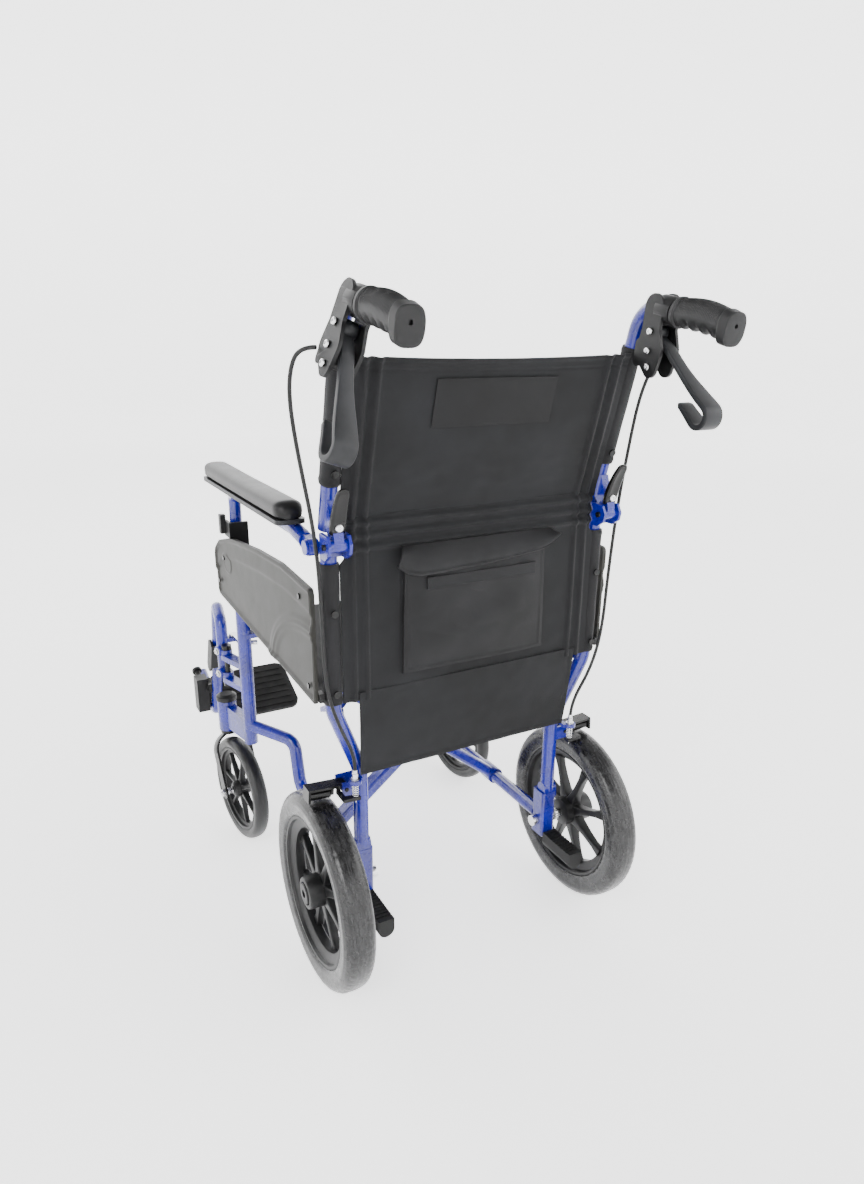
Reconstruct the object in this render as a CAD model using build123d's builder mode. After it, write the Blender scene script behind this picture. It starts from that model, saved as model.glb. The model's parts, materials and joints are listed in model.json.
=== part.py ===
"""Manual wheelchair, attendant-pushed: folding cross-brace frame with swing-away footrests.

Millimetres, +Z up. The front of the chair faces -Y and +X is the sitter's left.
The left side is modelled and the right side is its mirror image about X = 0.
Y is measured from the rear axle while modelling, and SHIFT_Y is added on export.
"""

import os
from math import atan2, cos, degrees, radians, sin, sqrt

from build123d import *

os.makedirs("parts", exist_ok=True)

# ---- driving dimensions ----
SHIFT_Y = 248.0  # puts the origin midway between the front and rear extremes
FIT_GAP = 0.05  # radial running clearance on every pivot

WHEEL_R = 148.5  # rear wheel radius
WHEEL_X = 230.0  # rear wheel centre plane
WHEEL_HALF = 24.5  # half the rear tyre width
RIM_R = 113.0  # rear rim outer radius
CASTER_R = 99.0
CASTER_HALF = 14.0
CASTER_RIM_R = 81.0
STEM_X = 240.0
STEM_Y = -462.0
CASTER_TRAIL = 44.0
CASTER_TURN = 7.0  # degrees the casters stand turned at rest

TUBE_R = 11.0
POST_R = 12.0
CANE_X = 213.5
CANE_TOP = 688.0
BACK_PIVOT_Y = 54.5
BACK_PIVOT_Z = 682.0
UPPER_Y0 = 19.0  # upper cane's lower end
UPPER_Z0 = 697.0
GRIP_DROOP = 10.4  # degrees the grips point down
HANDLE_Y = 94.3  # corner where the upper cane turns back
HANDLE_Z = 970.7
RECLINE = degrees(atan2(HANDLE_Y - UPPER_Y0, HANDLE_Z - UPPER_Z0))  # how far the back leans
UPRIGHT_X = 222.0
UPRIGHT_Y = -373.0
RAIL_X = 165.0  # low side rail, the cross-brace's lower pivot
RAIL_Z = 156.0
SEAT_X = 194.0  # seat rail
SEAT_Z = 443.0
BRACE_Y = -146.0
ARM_X = 235.0
ARM_Z = 688.0
ARM_PIVOT_Y = 22.0
PAD_IN = 226.5
PAD_OUT = 267.0
HANGER_X = 240.0  # footrest hanger's hinge axis
HANGER_Y = -433.0
FOOT_X = 222.0  # footplate's hinge axis
FOOT_Y = -628.0
FOOT_Z = 162.0
FOOT_TILT = 25.0
LEVER_Y = 126.0  # brake lever pivot
LEVER_Z = 934.0
LEVER_LONG = 148.0
LEVER_PARKED = -12.0  # degrees from straight down, to the rear
LEFT_LEVER_FREE = 31.0
RIGHT_LEVER_FREE = 50.0
HOUSING_TURN = 20.0  # degrees the left brake housing is turned outboard about its grip
SHOE_PIVOT_X = 194.0
SHOE_PIVOT_Z = 312.0
SHOE_FREE = 4.0  # degrees the brake shoe lifts when free
PIN_R = 4.0

# ---- derived ----
BRACE_TILT = degrees(atan2(SEAT_Z - RAIL_Z, SEAT_X + RAIL_X))
BRACE_LONG = sqrt((SEAT_Z - RAIL_Z) ** 2 + (SEAT_X + RAIL_X) ** 2)
BOLT_Z = RAIL_Z + RAIL_X * (SEAT_Z - RAIL_Z) / (SEAT_X + RAIL_X)
LEAN = (sin(radians(RECLINE)), cos(radians(RECLINE)))
DROOP = (cos(radians(GRIP_DROOP)), -sin(radians(GRIP_DROOP)))
GRIP_AXIS = Axis((CANE_X, HANDLE_Y, HANDLE_Z), (0, DROOP[0], DROOP[1]))
FOOT_RUN = (0, -cos(radians(FOOT_TILT)), sin(radians(FOOT_TILT)))
FOOT_UP = (0, sin(radians(FOOT_TILT)), cos(radians(FOOT_TILT)))


def save(part, name):
    """Export one piece in the shared frame."""
    moved = part.moved(Location((0, SHIFT_Y, 0)))
    moved.label = name
    export_step(moved, f"parts/{name}.step")


def save_pair(part, name):
    """Export the left piece and its mirror image."""
    save(part, f"left_{name}")
    save(mirror(part, about=Plane.YZ), f"right_{name}")


def tube(points, radius, bend):
    """Add a round bar along a line with rounded corners."""
    with BuildLine() as path:
        FilletPolyline(*points, radius=bend)
    with BuildSketch(Plane(origin=path.line @ 0, z_dir=path.line % 0)) as section:
        Circle(radius)
    sweep(sections=section.sketch, path=path.line)


def rod(start, end, radius, mode=Mode.ADD):
    """Add or cut a cylinder from one point to another."""
    way = Vector(*end) - Vector(*start)
    with BuildSketch(Plane(origin=start, z_dir=way)) as section:
        Circle(radius)
    extrude(section.sketch, amount=way.length, mode=mode)


def block(low, high, mode=Mode.ADD):
    """Add or cut a box between two corners."""
    middle = tuple((a + b) / 2 for a, b in zip(low, high))
    size = [b - a for a, b in zip(low, high)]
    with Locations(middle):
        Box(*size, mode=mode)


def side_plate(x_low, x_high, outline, corner=0.0, mode=Mode.ADD):
    """Add a plate that faces sideways, from its outline as Y, Z points."""
    with BuildSketch(Plane(origin=(x_low, 0, 0), x_dir=(0, 1, 0), z_dir=(1, 0, 0))) as flat:
        with BuildLine():
            Polyline(*outline, close=True)
        make_face()
        if corner:
            fillet(flat.vertices(), corner)
    extrude(flat.sketch, amount=x_high - x_low, mode=mode)


def side_hull(x_low, x_high, circles, mode=Mode.ADD):
    """Add a sideways plate wrapped round circles given as Y, Z, radius."""
    with BuildSketch(Plane(origin=(x_low, 0, 0), x_dir=(0, 1, 0), z_dir=(1, 0, 0))) as flat:
        for y, z, radius in circles:
            with Locations((y, z)):
                Circle(radius)
        make_hull()
    extrude(flat.sketch, amount=x_high - x_low, mode=mode)


def lean_point(along, across=0.0):
    """Y, Z of a point along the upper cane, moved square to it to the rear."""
    y = UPPER_Y0 + along * LEAN[0] + across * LEAN[1]
    z = UPPER_Z0 + along * LEAN[1] - across * LEAN[0]
    return y, z


def grip_point(along, across=0.0):
    """Point along the grip's axis from the handle's corner, moved up square to it."""
    y = HANDLE_Y + along * DROOP[0] - across * DROOP[1]
    z = HANDLE_Z + along * DROOP[1] + across * DROOP[0]
    return CANE_X, y, z


def foot_point(along):
    """Point along the footplate's hinge axis."""
    return FOOT_X, FOOT_Y + along * FOOT_RUN[1], FOOT_Z + along * FOOT_RUN[2]


# ---- side frame: canes, uprights, rails, brackets ----
with BuildPart() as side_frame:
    tube(
        [(169.5, 6, 180), (169.5, 6, 336), (CANE_X, 21.5, 445), (CANE_X, 24, CANE_TOP)],
        TUBE_R,
        55,
    )
    with BuildSketch(Plane.XY.offset(121)):
        with Locations((168, 2)):
            RectangleRounded(26, 31, 5)
    extrude(amount=84)
    chamfer(side_frame.faces().filter_by(Axis.Z).sort_by(Axis.Z)[0].edges(), 3)
    side_hull(158, 181, [(6, 200, 11.5), (6, 212, 10)])
    # low rail, up to the front upright
    tube(
        [
            (RAIL_X, -12, RAIL_Z),
            (RAIL_X, -275, RAIL_Z),
            (RAIL_X + 2, -292, 240),
            (UPRIGHT_X, UPRIGHT_Y, 249),
        ],
        TUBE_R,
        24,
    )
    rod((UPRIGHT_X, UPRIGHT_Y, 214), (UPRIGHT_X, UPRIGHT_Y, 584), POST_R)
    # caster housing joined to the upright
    with BuildSketch(Plane.XY.offset(216)):
        with Locations((STEM_X, STEM_Y)):
            Circle(9)
        with Locations((UPRIGHT_X, UPRIGHT_Y)):
            Circle(9)
        make_hull()
    extrude(amount=44)
    rod((STEM_X, STEM_Y, 208), (STEM_X, STEM_Y, 268), 17.5)
    rod((STEM_X, STEM_Y, 208), (STEM_X, STEM_Y, 262), 8 + FIT_GAP, Mode.SUBTRACT)
    # seat rail saddles
    block((186, UPRIGHT_Y - 12, 420), (UPRIGHT_X, UPRIGHT_Y + 12, 428))
    block((186, -30, 420), (205, -8, 428))
    side_plate(205, 213, [(-30, 420), (14, 440), (14, 452), (-30, 428)])
    # back hinge: web behind the cane and two ears
    block((205, 28, 664), (222, 39, 684))
    block((197.5, 35, 664), (229.5, 39, 684))
    for x in (197.5, 225.5):
        side_plate(x, x + 4, [(35, 664), (52, 664), (64, 672), (67, 684), (60, 696), (35, 697)], 3)
    rod((190, BACK_PIVOT_Y, BACK_PIVOT_Z), (240, BACK_PIVOT_Y, BACK_PIVOT_Z), PIN_R, Mode.SUBTRACT)
    # arm pivot stub
    rod((CANE_X, ARM_PIVOT_Y, 676), (244, ARM_PIVOT_Y, 676), 6)
    rod((242, ARM_PIVOT_Y, 676), (245, ARM_PIVOT_Y, 676), 9.5)
    # hanger hinge brackets
    for z in (316, 360):
        with BuildSketch(Plane.XY.offset(z)):
            with Locations((HANGER_X, HANGER_Y)):
                Circle(10)
            with Locations((UPRIGHT_X + 2, UPRIGHT_Y)):
                Circle(9)
            make_hull()
        extrude(amount=10)
    rod((HANGER_X, HANGER_Y, 300), (HANGER_X, HANGER_Y, 390), 5, Mode.SUBTRACT)
    # brake bracket and cable stop
    block((172, -16, 301), (200, -12.5, 323))
    block((171, -16, 303), (178, 4, 321))
    block((172, 10.5, 301), (200, 14, 323))
    rod((SHOE_PIVOT_X, -20, SHOE_PIVOT_Z), (SHOE_PIVOT_X, 20, SHOE_PIVOT_Z), 3, Mode.SUBTRACT)
    side_plate(176, 184, [(8, 331), (32, 331), (32, 336), (8, 336)])
    rod((188, 32, 331), (188, 32, 336), 9)
    rod((188, 32, 325), (188, 32, 340), 3.5, Mode.SUBTRACT)
    # rear axle hole
    rod((140, 0, WHEEL_R), (200, 0, WHEEL_R), 6, Mode.SUBTRACT)
save_pair(side_frame.part, "side_frame")

# ---- skirt guard ----
with BuildPart() as skirt_guard:
    side_plate(
        235.2,
        238.2,
        [(-455, 482), (-449, 566), (-420, 588), (-325, 609), (-200, 622), (-90, 628), (26, 621), (26, 459)],
        9,
    )
    side_plate(
        238.2,
        239.7,
        [(-449, 487), (-443, 562), (-418, 582), (-325, 602), (-200, 615), (-90, 621), (20, 614), (20, 465)],
        8,
    )
    side_plate(
        238.2,
        239.7,
        [(-439, 495), (-434, 556), (-414, 573), (-324, 593), (-200, 606), (-90, 612), (12, 605), (12, 474)],
        8,
        mode=Mode.SUBTRACT,
    )
save_pair(skirt_guard.part, "skirt_guard")

# ---- black fittings on the frame: arm latch, caster cap, cable clip, saddle pads ----
with BuildPart() as frame_fittings:
    block((207, UPRIGHT_Y + 12.1, 580), (235, UPRIGHT_Y + 19, 630))
    block((234, UPRIGHT_Y - 12, 604), (239, UPRIGHT_Y + 19, 630))
    block((238, UPRIGHT_Y - 16, 608), (247, UPRIGHT_Y - 4, 640))
    rod((STEM_X, STEM_Y, 268), (STEM_X, STEM_Y, 276), 19)
    with Locations((STEM_X, STEM_Y, 276)):
        Cone(19, 12, 4, align=(Align.CENTER, Align.CENTER, Align.MIN))
    block((228, 18, 463), (235, 30, 476))
    block((186, UPRIGHT_Y - 10, 428), (206, UPRIGHT_Y + 10, 431))
    block((186, -28, 428), (204, -10, 431))
save_pair(frame_fittings.part, "frame_fittings")

# ---- tip step: ribbed rubber bar behind the axle box ----
with BuildPart() as tip_step:
    with BuildSketch(Plane.XZ.offset(-17.6)):
        with Locations((170, 124)):
            Rectangle(25, 16)
        with Locations((170, 116)):
            Circle(12.5)
    extrude(amount=-74)
    for n in range(9):
        block((150, 24 + 7 * n, 130.8), (190, 27 + 7 * n, 133), Mode.SUBTRACT)
save_pair(tip_step.part, "tip_step")

# ---- rear axle ----
with BuildPart() as rear_axle:
    rod((148, 0, WHEEL_R), (254, 0, WHEEL_R), 6)
    rod((145, 0, WHEEL_R), (154.5, 0, WHEEL_R), 9)
    rod((182.5, 0, WHEEL_R), (198, 0, WHEEL_R), 10)
save_pair(rear_axle.part, "rear_axle")

# ---- rear wheel: rim and tyre ----
with BuildPart() as rear_rim:
    with BuildSketch(Plane.XY) as rim_section:
        with Locations((RIM_R - 4, 0)):
            Rectangle(8, 36)
        with Locations((RIM_R - 12, 6)):
            Rectangle(14, 5)
    revolve(axis=Axis.Y)
    with BuildSketch(Plane.XZ.offset(-26)):
        Circle(27)
    extrude(amount=55)
    with BuildSketch(Plane.XZ.offset(-28)):
        Circle(19)
    extrude(amount=4)
    with BuildSketch(Plane.XZ.offset(-14)):
        with PolarLocations(0, 8):
            with Locations((62, 0)):
                Rectangle(90, 6)
    extrude(amount=26)
    with BuildSketch(Plane.XZ.offset(-24)):
        Circle(6 + FIT_GAP)
    extrude(amount=60, mode=Mode.SUBTRACT)
wheel_place = Location((WHEEL_X, 0, WHEEL_R), (0, 0, -90))
save_pair(rear_rim.part.moved(wheel_place), "rear_rim")

with BuildPart() as rear_tyre:
    with BuildSketch(Plane.XY) as tyre_section:
        with Locations(((WHEEL_R + RIM_R) / 2, 0)):
            RectangleRounded(WHEEL_R - RIM_R, 2 * WHEEL_HALF, 16)
        with Locations((RIM_R + 4, 0)):
            Rectangle(8, 38)
    revolve(axis=Axis.Y)
save_pair(rear_tyre.part.moved(wheel_place), "rear_tyre")

# ---- caster: fork, axle, rim, tyre. The wheel's middle is the local origin ----
FORK_RISE = sqrt(CASTER_TRAIL**2 + (202 - CASTER_R) ** 2)
FORK_HOOP = FORK_RISE - 36
FORK_WAY = (0, -CASTER_TRAIL / FORK_RISE, (202 - CASTER_R) / FORK_RISE)
FORK_FACE = Plane(origin=(0, 0, 0), x_dir=(1, 0, 0), z_dir=(0, -FORK_WAY[2], FORK_WAY[1]))
with BuildPart() as caster_fork:
    with BuildSketch(FORK_FACE):
        with Locations((0, FORK_HOOP / 2)):
            Rectangle(70, FORK_HOOP)
        with Locations((0, FORK_HOOP)):
            Circle(35)
            Circle(31, mode=Mode.SUBTRACT)
        with Locations((0, FORK_HOOP / 2 - 10)):
            Rectangle(62, FORK_HOOP + 20, mode=Mode.SUBTRACT)
    extrude(amount=10, both=True)
    for x in (-35, 31):
        rod((x, 0, 0), (x + 4, 0, 0), 12)
    rod((0, -CASTER_TRAIL, 101.5), (0, -CASTER_TRAIL, 108.8), 15)
    rod((0, -CASTER_TRAIL, 101.5), (0, -CASTER_TRAIL, 158), 8)
    rod((-40, 0, 0), (40, 0, 0), PIN_R, Mode.SUBTRACT)

with BuildPart() as caster_axle:
    rod((-42, 0, 0), (42, 0, 0), PIN_R)
    for x in (-39, 35):
        with BuildSketch(Plane(origin=(x, 0, 0), z_dir=(1, 0, 0))):
            RegularPolygon(7.5, 6)
        extrude(amount=4)
    for x in (-31, 18):
        rod((x, 0, 0), (x + 13, 0, 0), 7)

with BuildPart() as caster_rim:
    with BuildSketch(Plane.XY):
        with Locations((CASTER_RIM_R - 3, 0)):
            Rectangle(6, 20)
    revolve(axis=Axis.Y)
    with BuildSketch(Plane.XZ.offset(-17.5)):
        Circle(17)
    extrude(amount=35)
    with BuildSketch(Plane.XZ.offset(-6)):
        with PolarLocations(0, 7):
            with Locations((46, 0)):
                Rectangle(62, 5)
    extrude(amount=12)
    with BuildSketch(Plane.XZ.offset(-20)):
        Circle(PIN_R + FIT_GAP)
    extrude(amount=40, mode=Mode.SUBTRACT)

with BuildPart() as caster_tyre:
    with BuildSketch(Plane.XY):
        with Locations(((CASTER_R + CASTER_RIM_R) / 2, 0)):
            RectangleRounded(CASTER_R - CASTER_RIM_R, 2 * CASTER_HALF, 8.5)
    revolve(axis=Axis.Y)

upright_wheel = Location((0, 0, 0), (0, 0, -90))
for side, sign in (("left", 1), ("right", -1)):
    turned = Location((sign * STEM_X, STEM_Y, 0), (0, 0, CASTER_TURN))
    placed = turned * Location((0, CASTER_TRAIL, CASTER_R))
    save(caster_fork.part.moved(placed), f"{side}_caster_fork")
    save(caster_axle.part.moved(placed), f"{side}_caster_axle")
    save(caster_rim.part.moved(placed * upright_wheel), f"{side}_caster_rim")
    save(caster_tyre.part.moved(placed * upright_wheel), f"{side}_caster_tyre")

# ---- upper cane with its handle end and hinge tongue ----
with BuildPart() as handle_tube:
    tube(
        [
            (CANE_X, UPPER_Y0, UPPER_Z0),
            (CANE_X, HANDLE_Y, HANDLE_Z),
            grip_point(146),
        ],
        TUBE_R,
        38,
    )
    side_plate(
        207,
        220,
        [(48, 677), (61, 678), (62, 690), (58, 707), (50, 713), (42, 737), (24, 728), (24, 706), (32, 703), (44, 688)],
    )
    rod((202, BACK_PIVOT_Y, BACK_PIVOT_Z), (225, BACK_PIVOT_Y, BACK_PIVOT_Z), 8)
    rod((200, BACK_PIVOT_Y, BACK_PIVOT_Z), (230, BACK_PIVOT_Y, BACK_PIVOT_Z), PIN_R + FIT_GAP, Mode.SUBTRACT)
    rod((200, 51, 702), (230, 51, 702), 2.5, Mode.SUBTRACT)
save_pair(handle_tube.part, "handle_tube")

# ---- hand grip ----
with BuildPart() as hand_grip:
    rod(grip_point(66), grip_point(162), 16)
    rod(grip_point(66), grip_point(73), 18)
    rod(grip_point(150), grip_point(161), 17.5)
    rod(grip_point(60), grip_point(146), TUBE_R, Mode.SUBTRACT)
    rod(grip_point(140), grip_point(165), 2.5, Mode.SUBTRACT)
    for n in range(4):
        rod(
            (CANE_X - 20, *grip_point(86 + 18 * n, -22)[1:]),
            (CANE_X + 20, *grip_point(86 + 18 * n, -22)[1:]),
            8,
            Mode.SUBTRACT,
        )
save_pair(hand_grip.part, "hand_grip")

# ---- brake housing: clamp ring, two cheeks, filler, lever pin ----
with BuildPart() as brake_housing:
    for x in (197.5, 225):
        side_hull(x, x + 4.5, [(131, 966, 16), (128, 936, 16)])
        side_hull(x, x + 4.5, [(128, 936, 16), (127, 912, 23), (131, 890, 12)])
    side_hull(201, 226, [(106, 920, 8), (103, 899, 7)])
    rod(grip_point(38), grip_point(64), 17.5)
    rod(grip_point(30), grip_point(70), TUBE_R, Mode.SUBTRACT)
    block((CANE_X - 11.4, 60, 900), (CANE_X + 11.4, 98, 975), Mode.SUBTRACT)
    rod((200, LEVER_Y, LEVER_Z), (227, LEVER_Y, LEVER_Z), PIN_R)
save(brake_housing.part.rotate(GRIP_AXIS, -HOUSING_TURN), "left_brake_housing")
save(mirror(brake_housing.part, about=Plane.YZ), "right_brake_housing")

# ---- brake lever, hanging straight down from its pivot at the local origin ----
with BuildPart() as brake_lever:
    side_hull(-10, 10, [(0, 0, 9.8)])
    with BuildSketch(Plane(origin=(-10.5, 0, 0), x_dir=(0, 1, 0), z_dir=(1, 0, 0))):
        with BuildLine():
            Line((0, -4), (0, 14 - LEVER_LONG))
            ThreePointArc((0, 14 - LEVER_LONG), (-14, -LEVER_LONG), (-28, 14 - LEVER_LONG))
            Line((-28, 14 - LEVER_LONG), (-28, -98))
            offset(amount=3, side=Side.BOTH)
        make_face()
    extrude(amount=21)
    rod((-20, 0, 0), (20, 0, 0), PIN_R + FIT_GAP, Mode.SUBTRACT)
left_place = Location((CANE_X, LEVER_Y, LEVER_Z), (LEFT_LEVER_FREE, 0, 0))
save(brake_lever.part.moved(left_place).rotate(GRIP_AXIS, -HOUSING_TURN), "left_brake_lever")
right_place = Location((-CANE_X, LEVER_Y, LEVER_Z), (RIGHT_LEVER_FREE, 0, 0))
save(brake_lever.part.moved(right_place), "right_brake_lever")

# ---- back latch handle behind the hinge ----
with BuildPart() as back_latch:
    for x in (203, 220.5):
        side_plate(x, x + 3.5, [(46, 697), (56, 697), (64, 711), (69, 722), (62, 722), (52, 709), (46, 706)], 1.5)
    side_plate(203, 224, [(54.5, 713), (61, 710.5), (72, 733), (80, 753), (75, 757), (68, 745), (63, 730)], 2)
    rod((202.8, 51, 702), (224.2, 51, 702), 2.5 - FIT_GAP)
save_pair(back_latch.part, "back_latch")

# ---- armrest: tube with its post and eye, base, pad ----
with BuildPart() as arm_tube:
    tube(
        [
            (ARM_X, 4, 681),
            (ARM_X, -40, ARM_Z),
            (ARM_X, -330, ARM_Z),
            (UPRIGHT_X, UPRIGHT_Y, 672),
            (UPRIGHT_X, UPRIGHT_Y, 585.5),
        ],
        10,
        14,
    )
    rod((227.5, ARM_PIVOT_Y, 676), (241.5, ARM_PIVOT_Y, 676), 11)
    side_plate(229, 240, [(22, 666), (22, 686.5), (-10, 692), (-10, 672)])
    rod((220, ARM_PIVOT_Y, 676), (250, ARM_PIVOT_Y, 676), 6 + FIT_GAP, Mode.SUBTRACT)
save_pair(arm_tube.part, "arm_tube")

with BuildPart() as arm_pad_base:
    with BuildSketch(Plane.XY.offset(698.5)):
        with Locations(((PAD_IN + PAD_OUT) / 2, -203)):
            RectangleRounded(PAD_OUT - PAD_IN, 378, 9)
    extrude(amount=6)
save_pair(arm_pad_base.part, "arm_pad_base")

with BuildPart() as arm_pad:
    with BuildSketch(Plane.XY.offset(704.5)):
        with Locations(((PAD_IN + PAD_OUT) / 2, -203)):
            RectangleRounded(PAD_OUT - PAD_IN, 378, 14)
    extrude(amount=25)
    fillet(arm_pad.faces().sort_by(Axis.Z)[-1].edges(), 9)
save_pair(arm_pad.part, "arm_pad")

# ---- footrest hanger ----
with BuildPart() as hanger_tube:
    tube(
        [
            (HANGER_X, HANGER_Y - 27, 322),
            (HANGER_X, HANGER_Y - 27, 424),
            (232, -515, 440),
            (FOOT_X, -584, 300),
            (FOOT_X, -616, 215),
            foot_point(0),
            foot_point(124),
        ],
        10.5,
        18,
    )
    for z in (326.5, 370.5):
        with BuildSketch(Plane.XY.offset(z)):
            with Locations((HANGER_X, HANGER_Y)):
                Circle(10)
            with Locations((HANGER_X, HANGER_Y - 27)):
                Circle(8)
            make_hull()
        extrude(amount=9)
    rod((HANGER_X, HANGER_Y, 300), (HANGER_X, HANGER_Y, 390), 5 + FIT_GAP, Mode.SUBTRACT)
    # heel of the chrome latch
    block((214, HANGER_Y - 34, 384), (HANGER_X, HANGER_Y - 20, 392))
    rod((219, HANGER_Y - 27, 380), (219, HANGER_Y - 27, 396), 3, Mode.SUBTRACT)
save_pair(hanger_tube.part, "hanger_tube")

with BuildPart() as hanger_latch:
    rod((219, HANGER_Y - 27, 392.3), (219, HANGER_Y - 27, 398), 8)
    rod((219, HANGER_Y - 27, 384), (219, HANGER_Y - 27, 393), 3 - FIT_GAP)
    block((212, HANGER_Y - 28, 392.3), (222, HANGER_Y + 22, 398))
    rod((213, HANGER_Y + 20, 395), (190, HANGER_Y + 30, 395), 4.5)
save_pair(hanger_latch.part, "hanger_latch")

FOOT_FACE = Plane(origin=(FOOT_X, FOOT_Y, FOOT_Z), x_dir=(-1, 0, 0), z_dir=FOOT_UP)
with BuildPart() as footplate:
    with BuildSketch(FOOT_FACE.offset(-24.5)):
        with Locations((99, 60)):
            RectangleRounded(172, 134, 22)
    extrude(amount=8)
    with BuildSketch(FOOT_FACE.offset(-16.5)):
        for n in range(7):
            with Locations((103, 8 + 17 * n)):
                Rectangle(140, 5)
    extrude(amount=1.6)
    with BuildSketch(FOOT_FACE.offset(-24.5)):
        with Locations((10, 58)):
            Rectangle(20, 70)
    extrude(amount=16.5)
    rod(foot_point(23), foot_point(93), 14.5)
    rod(foot_point(0), foot_point(140), 10.5 + FIT_GAP, Mode.SUBTRACT)
save_pair(footplate.part, "footplate")

# ---- heel loop and outer block on the hanger ----
with BuildPart() as calf_strap:
    side_hull(208, 211, [(-562, 342, 12), (-583, 292, 12)])
    side_hull(237, 241, [(-562, 342, 12), (-583, 292, 12)])
    side_plate(208, 241, [(-548, 344), (-544, 346), (-566, 291), (-570, 289)])
    block((237, -650, 176), (260, -619, 248))
    block((233, -616, 222), (240, -606, 240))
    block((237, -622, 222), (240, -606, 240))
    rod((247, -650, 238), (247, -672, 247), 5.5)
    rod((247, -670, 246), (247, -676, 248.5), 9.5)
save_pair(calf_strap.part, "calf_strap")

# ---- brake arm with its shoe over the rear tyre; its pivot is the local origin ----
with BuildPart() as brake_arm:
    rod((0, -12, 0), (0, 10, 0), 6.5)
    block((0, -12, 3), (56, 10, 6.5))
    block((52.5, -12, -14), (56, 10, 6.5))
    block((18, -12, -6), (21.5, 10, 6.5))
    rod((20, -1, -8), (54, -1, -8), 6.5)
    block((8, 8, -6), (14, 38, -1))
    block((-12, 28, -6), (14, 38, -1))
    block((8, 8, -6), (14, 10, 4))
    rod((0, -20, 0), (0, 20, 0), 3 + FIT_GAP, Mode.SUBTRACT)
free_arm = brake_arm.part.rotate(Axis.Y, -SHOE_FREE)
save_pair(free_arm.moved(Location((SHOE_PIVOT_X, 0, SHOE_PIVOT_Z))), "brake_arm")

# ---- brake cables, each with its barrel and spring at the lower end ----
LEFT_START = [
    (252.3, 108, 917),
    (262, 98, 917),
    (269, 78, 905),
    (269, 60, 868),
    (260, 52, 808),
]
RIGHT_START = [
    (232.4, 108, 893),
    (242, 98, 893),
    (251, 74, 880),
    (251, 58, 840),
    (247, 51, 780),
]
CABLE_DOWN = [
    (238, 47, 690),
    (233, 44, 590),
    (231, 42, 490),
    (214, 42, 430),
    (188, 33, 375),
    (188, 32, 350),
]
for side, start in (("left", LEFT_START), ("right", RIGHT_START)):
    with BuildPart() as brake_cable:
        tube(start + CABLE_DOWN, 2.6, 9)
        rod((188, 32, 316), (188, 32, 354), 3.4)
        rod((188, 32, 337), (188, 32, 346), 5.5)
    cable = brake_cable.part
    save(cable if side == "left" else mirror(cable, about=Plane.YZ), f"{side}_brake_cable")

# ---- screws and pins ----
with BuildPart() as frame_screws:
    rod((194, BACK_PIVOT_Y, BACK_PIVOT_Z), (233, BACK_PIVOT_Y, BACK_PIVOT_Z), PIN_R)
    rod((HANGER_X, HANGER_Y, 312), (HANGER_X, HANGER_Y, 384), 5)
    rod((HANGER_X, HANGER_Y, 380), (HANGER_X, HANGER_Y, 388), 9)
    rod((HANGER_X, HANGER_Y, 309), (HANGER_X, HANGER_Y, 316), 9)
    rod((SHOE_PIVOT_X, -17.5, SHOE_PIVOT_Z), (SHOE_PIVOT_X, 15.5, SHOE_PIVOT_Z), 3)
    for y, z in ((-440, 510), (-400, 560), (-20, 600), (4, 480)):
        rod((239.7, y, z), (241.7, y, z), 4)
    for z in (475, 588):
        rod((CANE_X, 38.2, z), (CANE_X, 41, z), 5)
save_pair(frame_screws.part, "frame_screws")

with BuildPart() as housing_screws:
    for y, z in ((129, 936), (127, 912), (129, 892)):
        rod((229.5, y, z), (231.5, y, z), 4)
        rod((195.5, y, z), (197.5, y, z), 4)
for side, angle in (("left", -HOUSING_TURN), ("right", 0)):
    with BuildPart() as back_screws:
        for along in (80, 216):
            rod((CANE_X, *lean_point(along, 13.7)), (CANE_X, *lean_point(along, 16.5)), 5)
        add(housing_screws.part.rotate(GRIP_AXIS, angle))
    screws = back_screws.part
    save(screws if side == "left" else mirror(screws, about=Plane.YZ), f"{side}_back_screws")

# ---- cross brace: each member carries a lower sleeve and the opposite seat rail ----
BRACE_WAY = (-cos(radians(BRACE_TILT)), 0, sin(radians(BRACE_TILT)))
with BuildPart() as brace_a:
    with BuildSketch(Plane(origin=(RAIL_X, BRACE_Y + 16, RAIL_Z), x_dir=(0, 1, 0), z_dir=BRACE_WAY)):
        RectangleRounded(28, 19, 6)
    extrude(amount=BRACE_LONG)
    rod((RAIL_X, BRACE_Y - 4, RAIL_Z), (RAIL_X, BRACE_Y + 36, RAIL_Z), 14.5)
    rod((RAIL_X, BRACE_Y - 60, RAIL_Z), (RAIL_X, BRACE_Y + 60, RAIL_Z), TUBE_R + FIT_GAP, Mode.SUBTRACT)
    rod((-SEAT_X, -402, SEAT_Z), (-SEAT_X, -2, SEAT_Z), TUBE_R)
    rod((0, BRACE_Y - 40, BOLT_Z), (0, BRACE_Y + 40, BOLT_Z), 5, Mode.SUBTRACT)
save(brace_a.part, "brace_a")

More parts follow.
